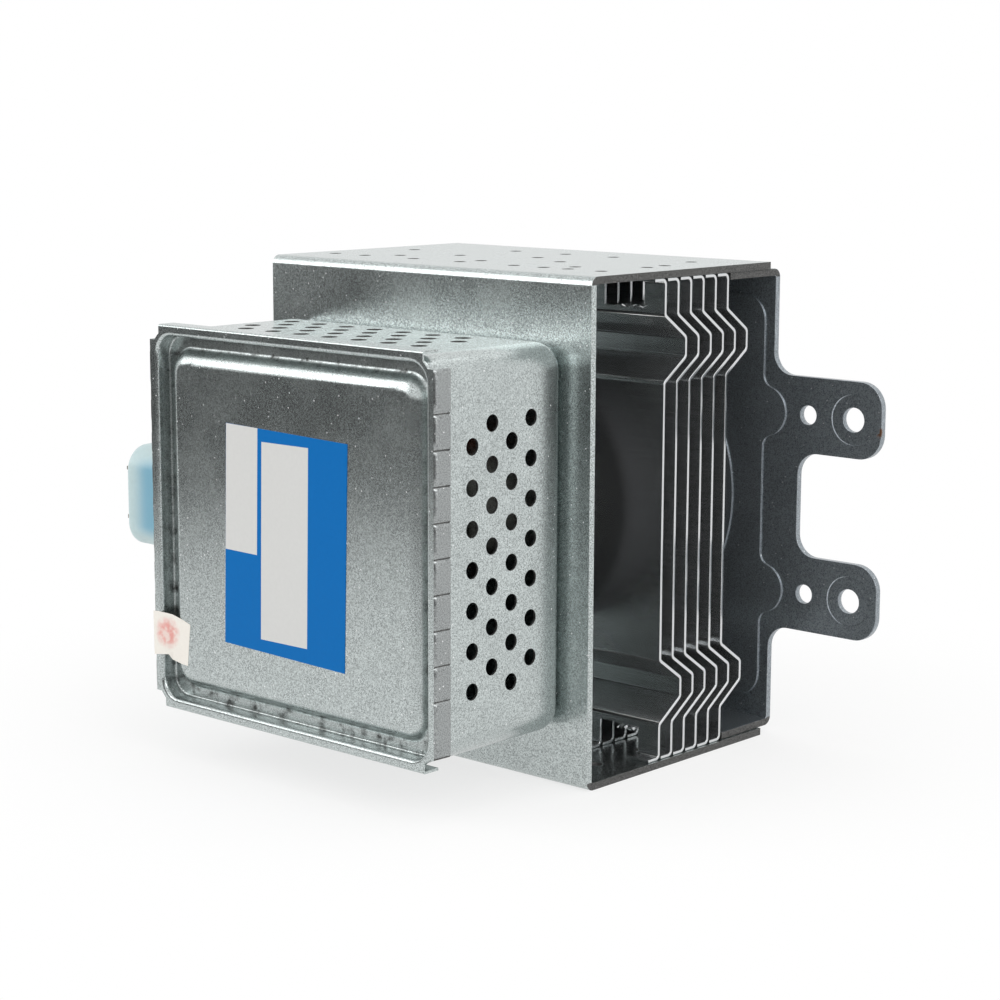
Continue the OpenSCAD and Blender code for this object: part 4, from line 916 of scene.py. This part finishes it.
class MAGNETRON_OT_tube(bpy.types.Operator):
    """Dress the magnets, the vacuum tube, the gasket and the chokes"""

    bl_idname = "magnetron.tube"
    bl_label = "Tube"

    def execute(self, context):
        sizes = context.scene.magnetron_sizes
        looks = finishes()
        dress(looks["Sintered ferrite"], "front_magnet", "rear_magnet", "upper_choke_core", "lower_choke_core")
        dress(looks["Brazed copper"], "anode_vanes", "inner_straps", "outer_straps",
              "exhaust_tube", "antenna_lead")
        dress(looks["Zinc-plated steel"], "input_pole_piece", "output_pole_piece")
        dress(looks["Nickel plating"], "anode_cylinder", "input_seal_cup", "upper_stem_pin", "lower_stem_pin")
        dress(looks["Fired alumina"], "stem_ceramic")
        dress(looks["Drawn tungsten"], "cathode_filament", "upper_end_hat", "lower_end_hat",
              "centre_rod", "side_rod")
        dress(looks["Enamelled copper wire"], "upper_choke_coil", "lower_choke_coil")
        softened("output_seal_cup", sizes.fin_edge, [looks["Nickel plating"]])
        softened("output_ceramic", 2 * sizes.edge, [looks["Fired alumina"]])
        softened("antenna_cap", sizes.fin_edge, [looks["Nickel plating"]])

        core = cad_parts["mesh_gasket"].data.copy()
        core.materials.clear()
        low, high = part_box("mesh_gasket")
        reach = (high[0] - low[0]) / 2
        inner = min(math.hypot(v.co.x, v.co.z) for v in core.vertices)
        width, height = reach - inner, high[1] - low[1]
        radius, level = (reach + inner) / 2, (high[1] + low[1]) / 2
        inset = 1.6 * sizes.knit_wire
        for point in core.vertices:
            out = math.hypot(point.co.x, point.co.z)
            nearer = (radius + (out - radius) * (1 - 2 * inset / width)) / out
            point.co.x *= nearer
            point.co.z *= nearer
            point.co.y = level + (point.co.y - level) * (1 - 2 * inset / height)
        mesh = grown("mesh_gasket", knitted_ring(), {
            "Loops": sizes.knit_loops, "Radius": radius, "Width": width - 2 * sizes.knit_wire,
            "Height": height - 2 * sizes.knit_wire, "Round": 1.4 * MM, "Wire": sizes.knit_wire,
            "Tilt": math.radians(24), "Finish": looks["Knitted plated wire"]})
        mesh.transform(Matrix.Translation((0, level, 0)) @ Matrix.Rotation(-math.pi / 2, 4, "X"))
        work = bmesh.new()
        work.from_mesh(core)
        bmesh.ops.remove_doubles(work, verts=work.verts, dist=1e-6)
        work.from_mesh(mesh)
        whole = bpy.data.meshes.new("mesh_gasket_shape")
        work.to_mesh(whole)
        work.free()
        placed("mesh_gasket", whole, [looks["Knitted plated wire"]], "mesh_gasket")
        return {"FINISHED"}


class MAGNETRON_PT_panel(bpy.types.Panel):
    """The magnetron's pieces and sizes"""

    bl_idname = "MAGNETRON_PT_panel"
    bl_label = "Magnetron"
    bl_space_type = "VIEW_3D"
    bl_region_type = "UI"
    bl_category = "Magnetron"

    def draw(self, context):
        for group in ("magnetron_colours", "magnetron_sizes", "magnetron_stage"):
            settings = getattr(context.scene, group)
            for key in settings.__annotations__:
                self.layout.prop(settings, key)
        for step in STEPS:
            self.layout.operator(step.bl_idname)


GROUPS = {
    "magnetron_colours": FinishColours,
    "magnetron_sizes": SheetSizes,
    "magnetron_stage": StageSizes,
}
STEPS = (
    MAGNETRON_OT_stage, MAGNETRON_OT_frame, MAGNETRON_OT_fins, MAGNETRON_OT_filter, MAGNETRON_OT_label,
    MAGNETRON_OT_tube,
)


def register():
    for kind in (*GROUPS.values(), *STEPS, MAGNETRON_PT_panel):
        bpy.utils.register_class(kind)
    for name, kind in GROUPS.items():
        setattr(bpy.types.Scene, name, bpy.props.PointerProperty(type=kind))


def unregister():
    for name in GROUPS:
        delattr(bpy.types.Scene, name)
    for kind in reversed((*GROUPS.values(), *STEPS, MAGNETRON_PT_panel)):
        bpy.utils.unregister_class(kind)


def main():
    register()
    bpy.ops.magnetron.stage()
    bpy.ops.magnetron.frame()
    bpy.ops.magnetron.fins()
    bpy.ops.magnetron.filter()
    bpy.ops.magnetron.label()
    bpy.ops.magnetron.tube()


if __name__ == "__main__":
    main()
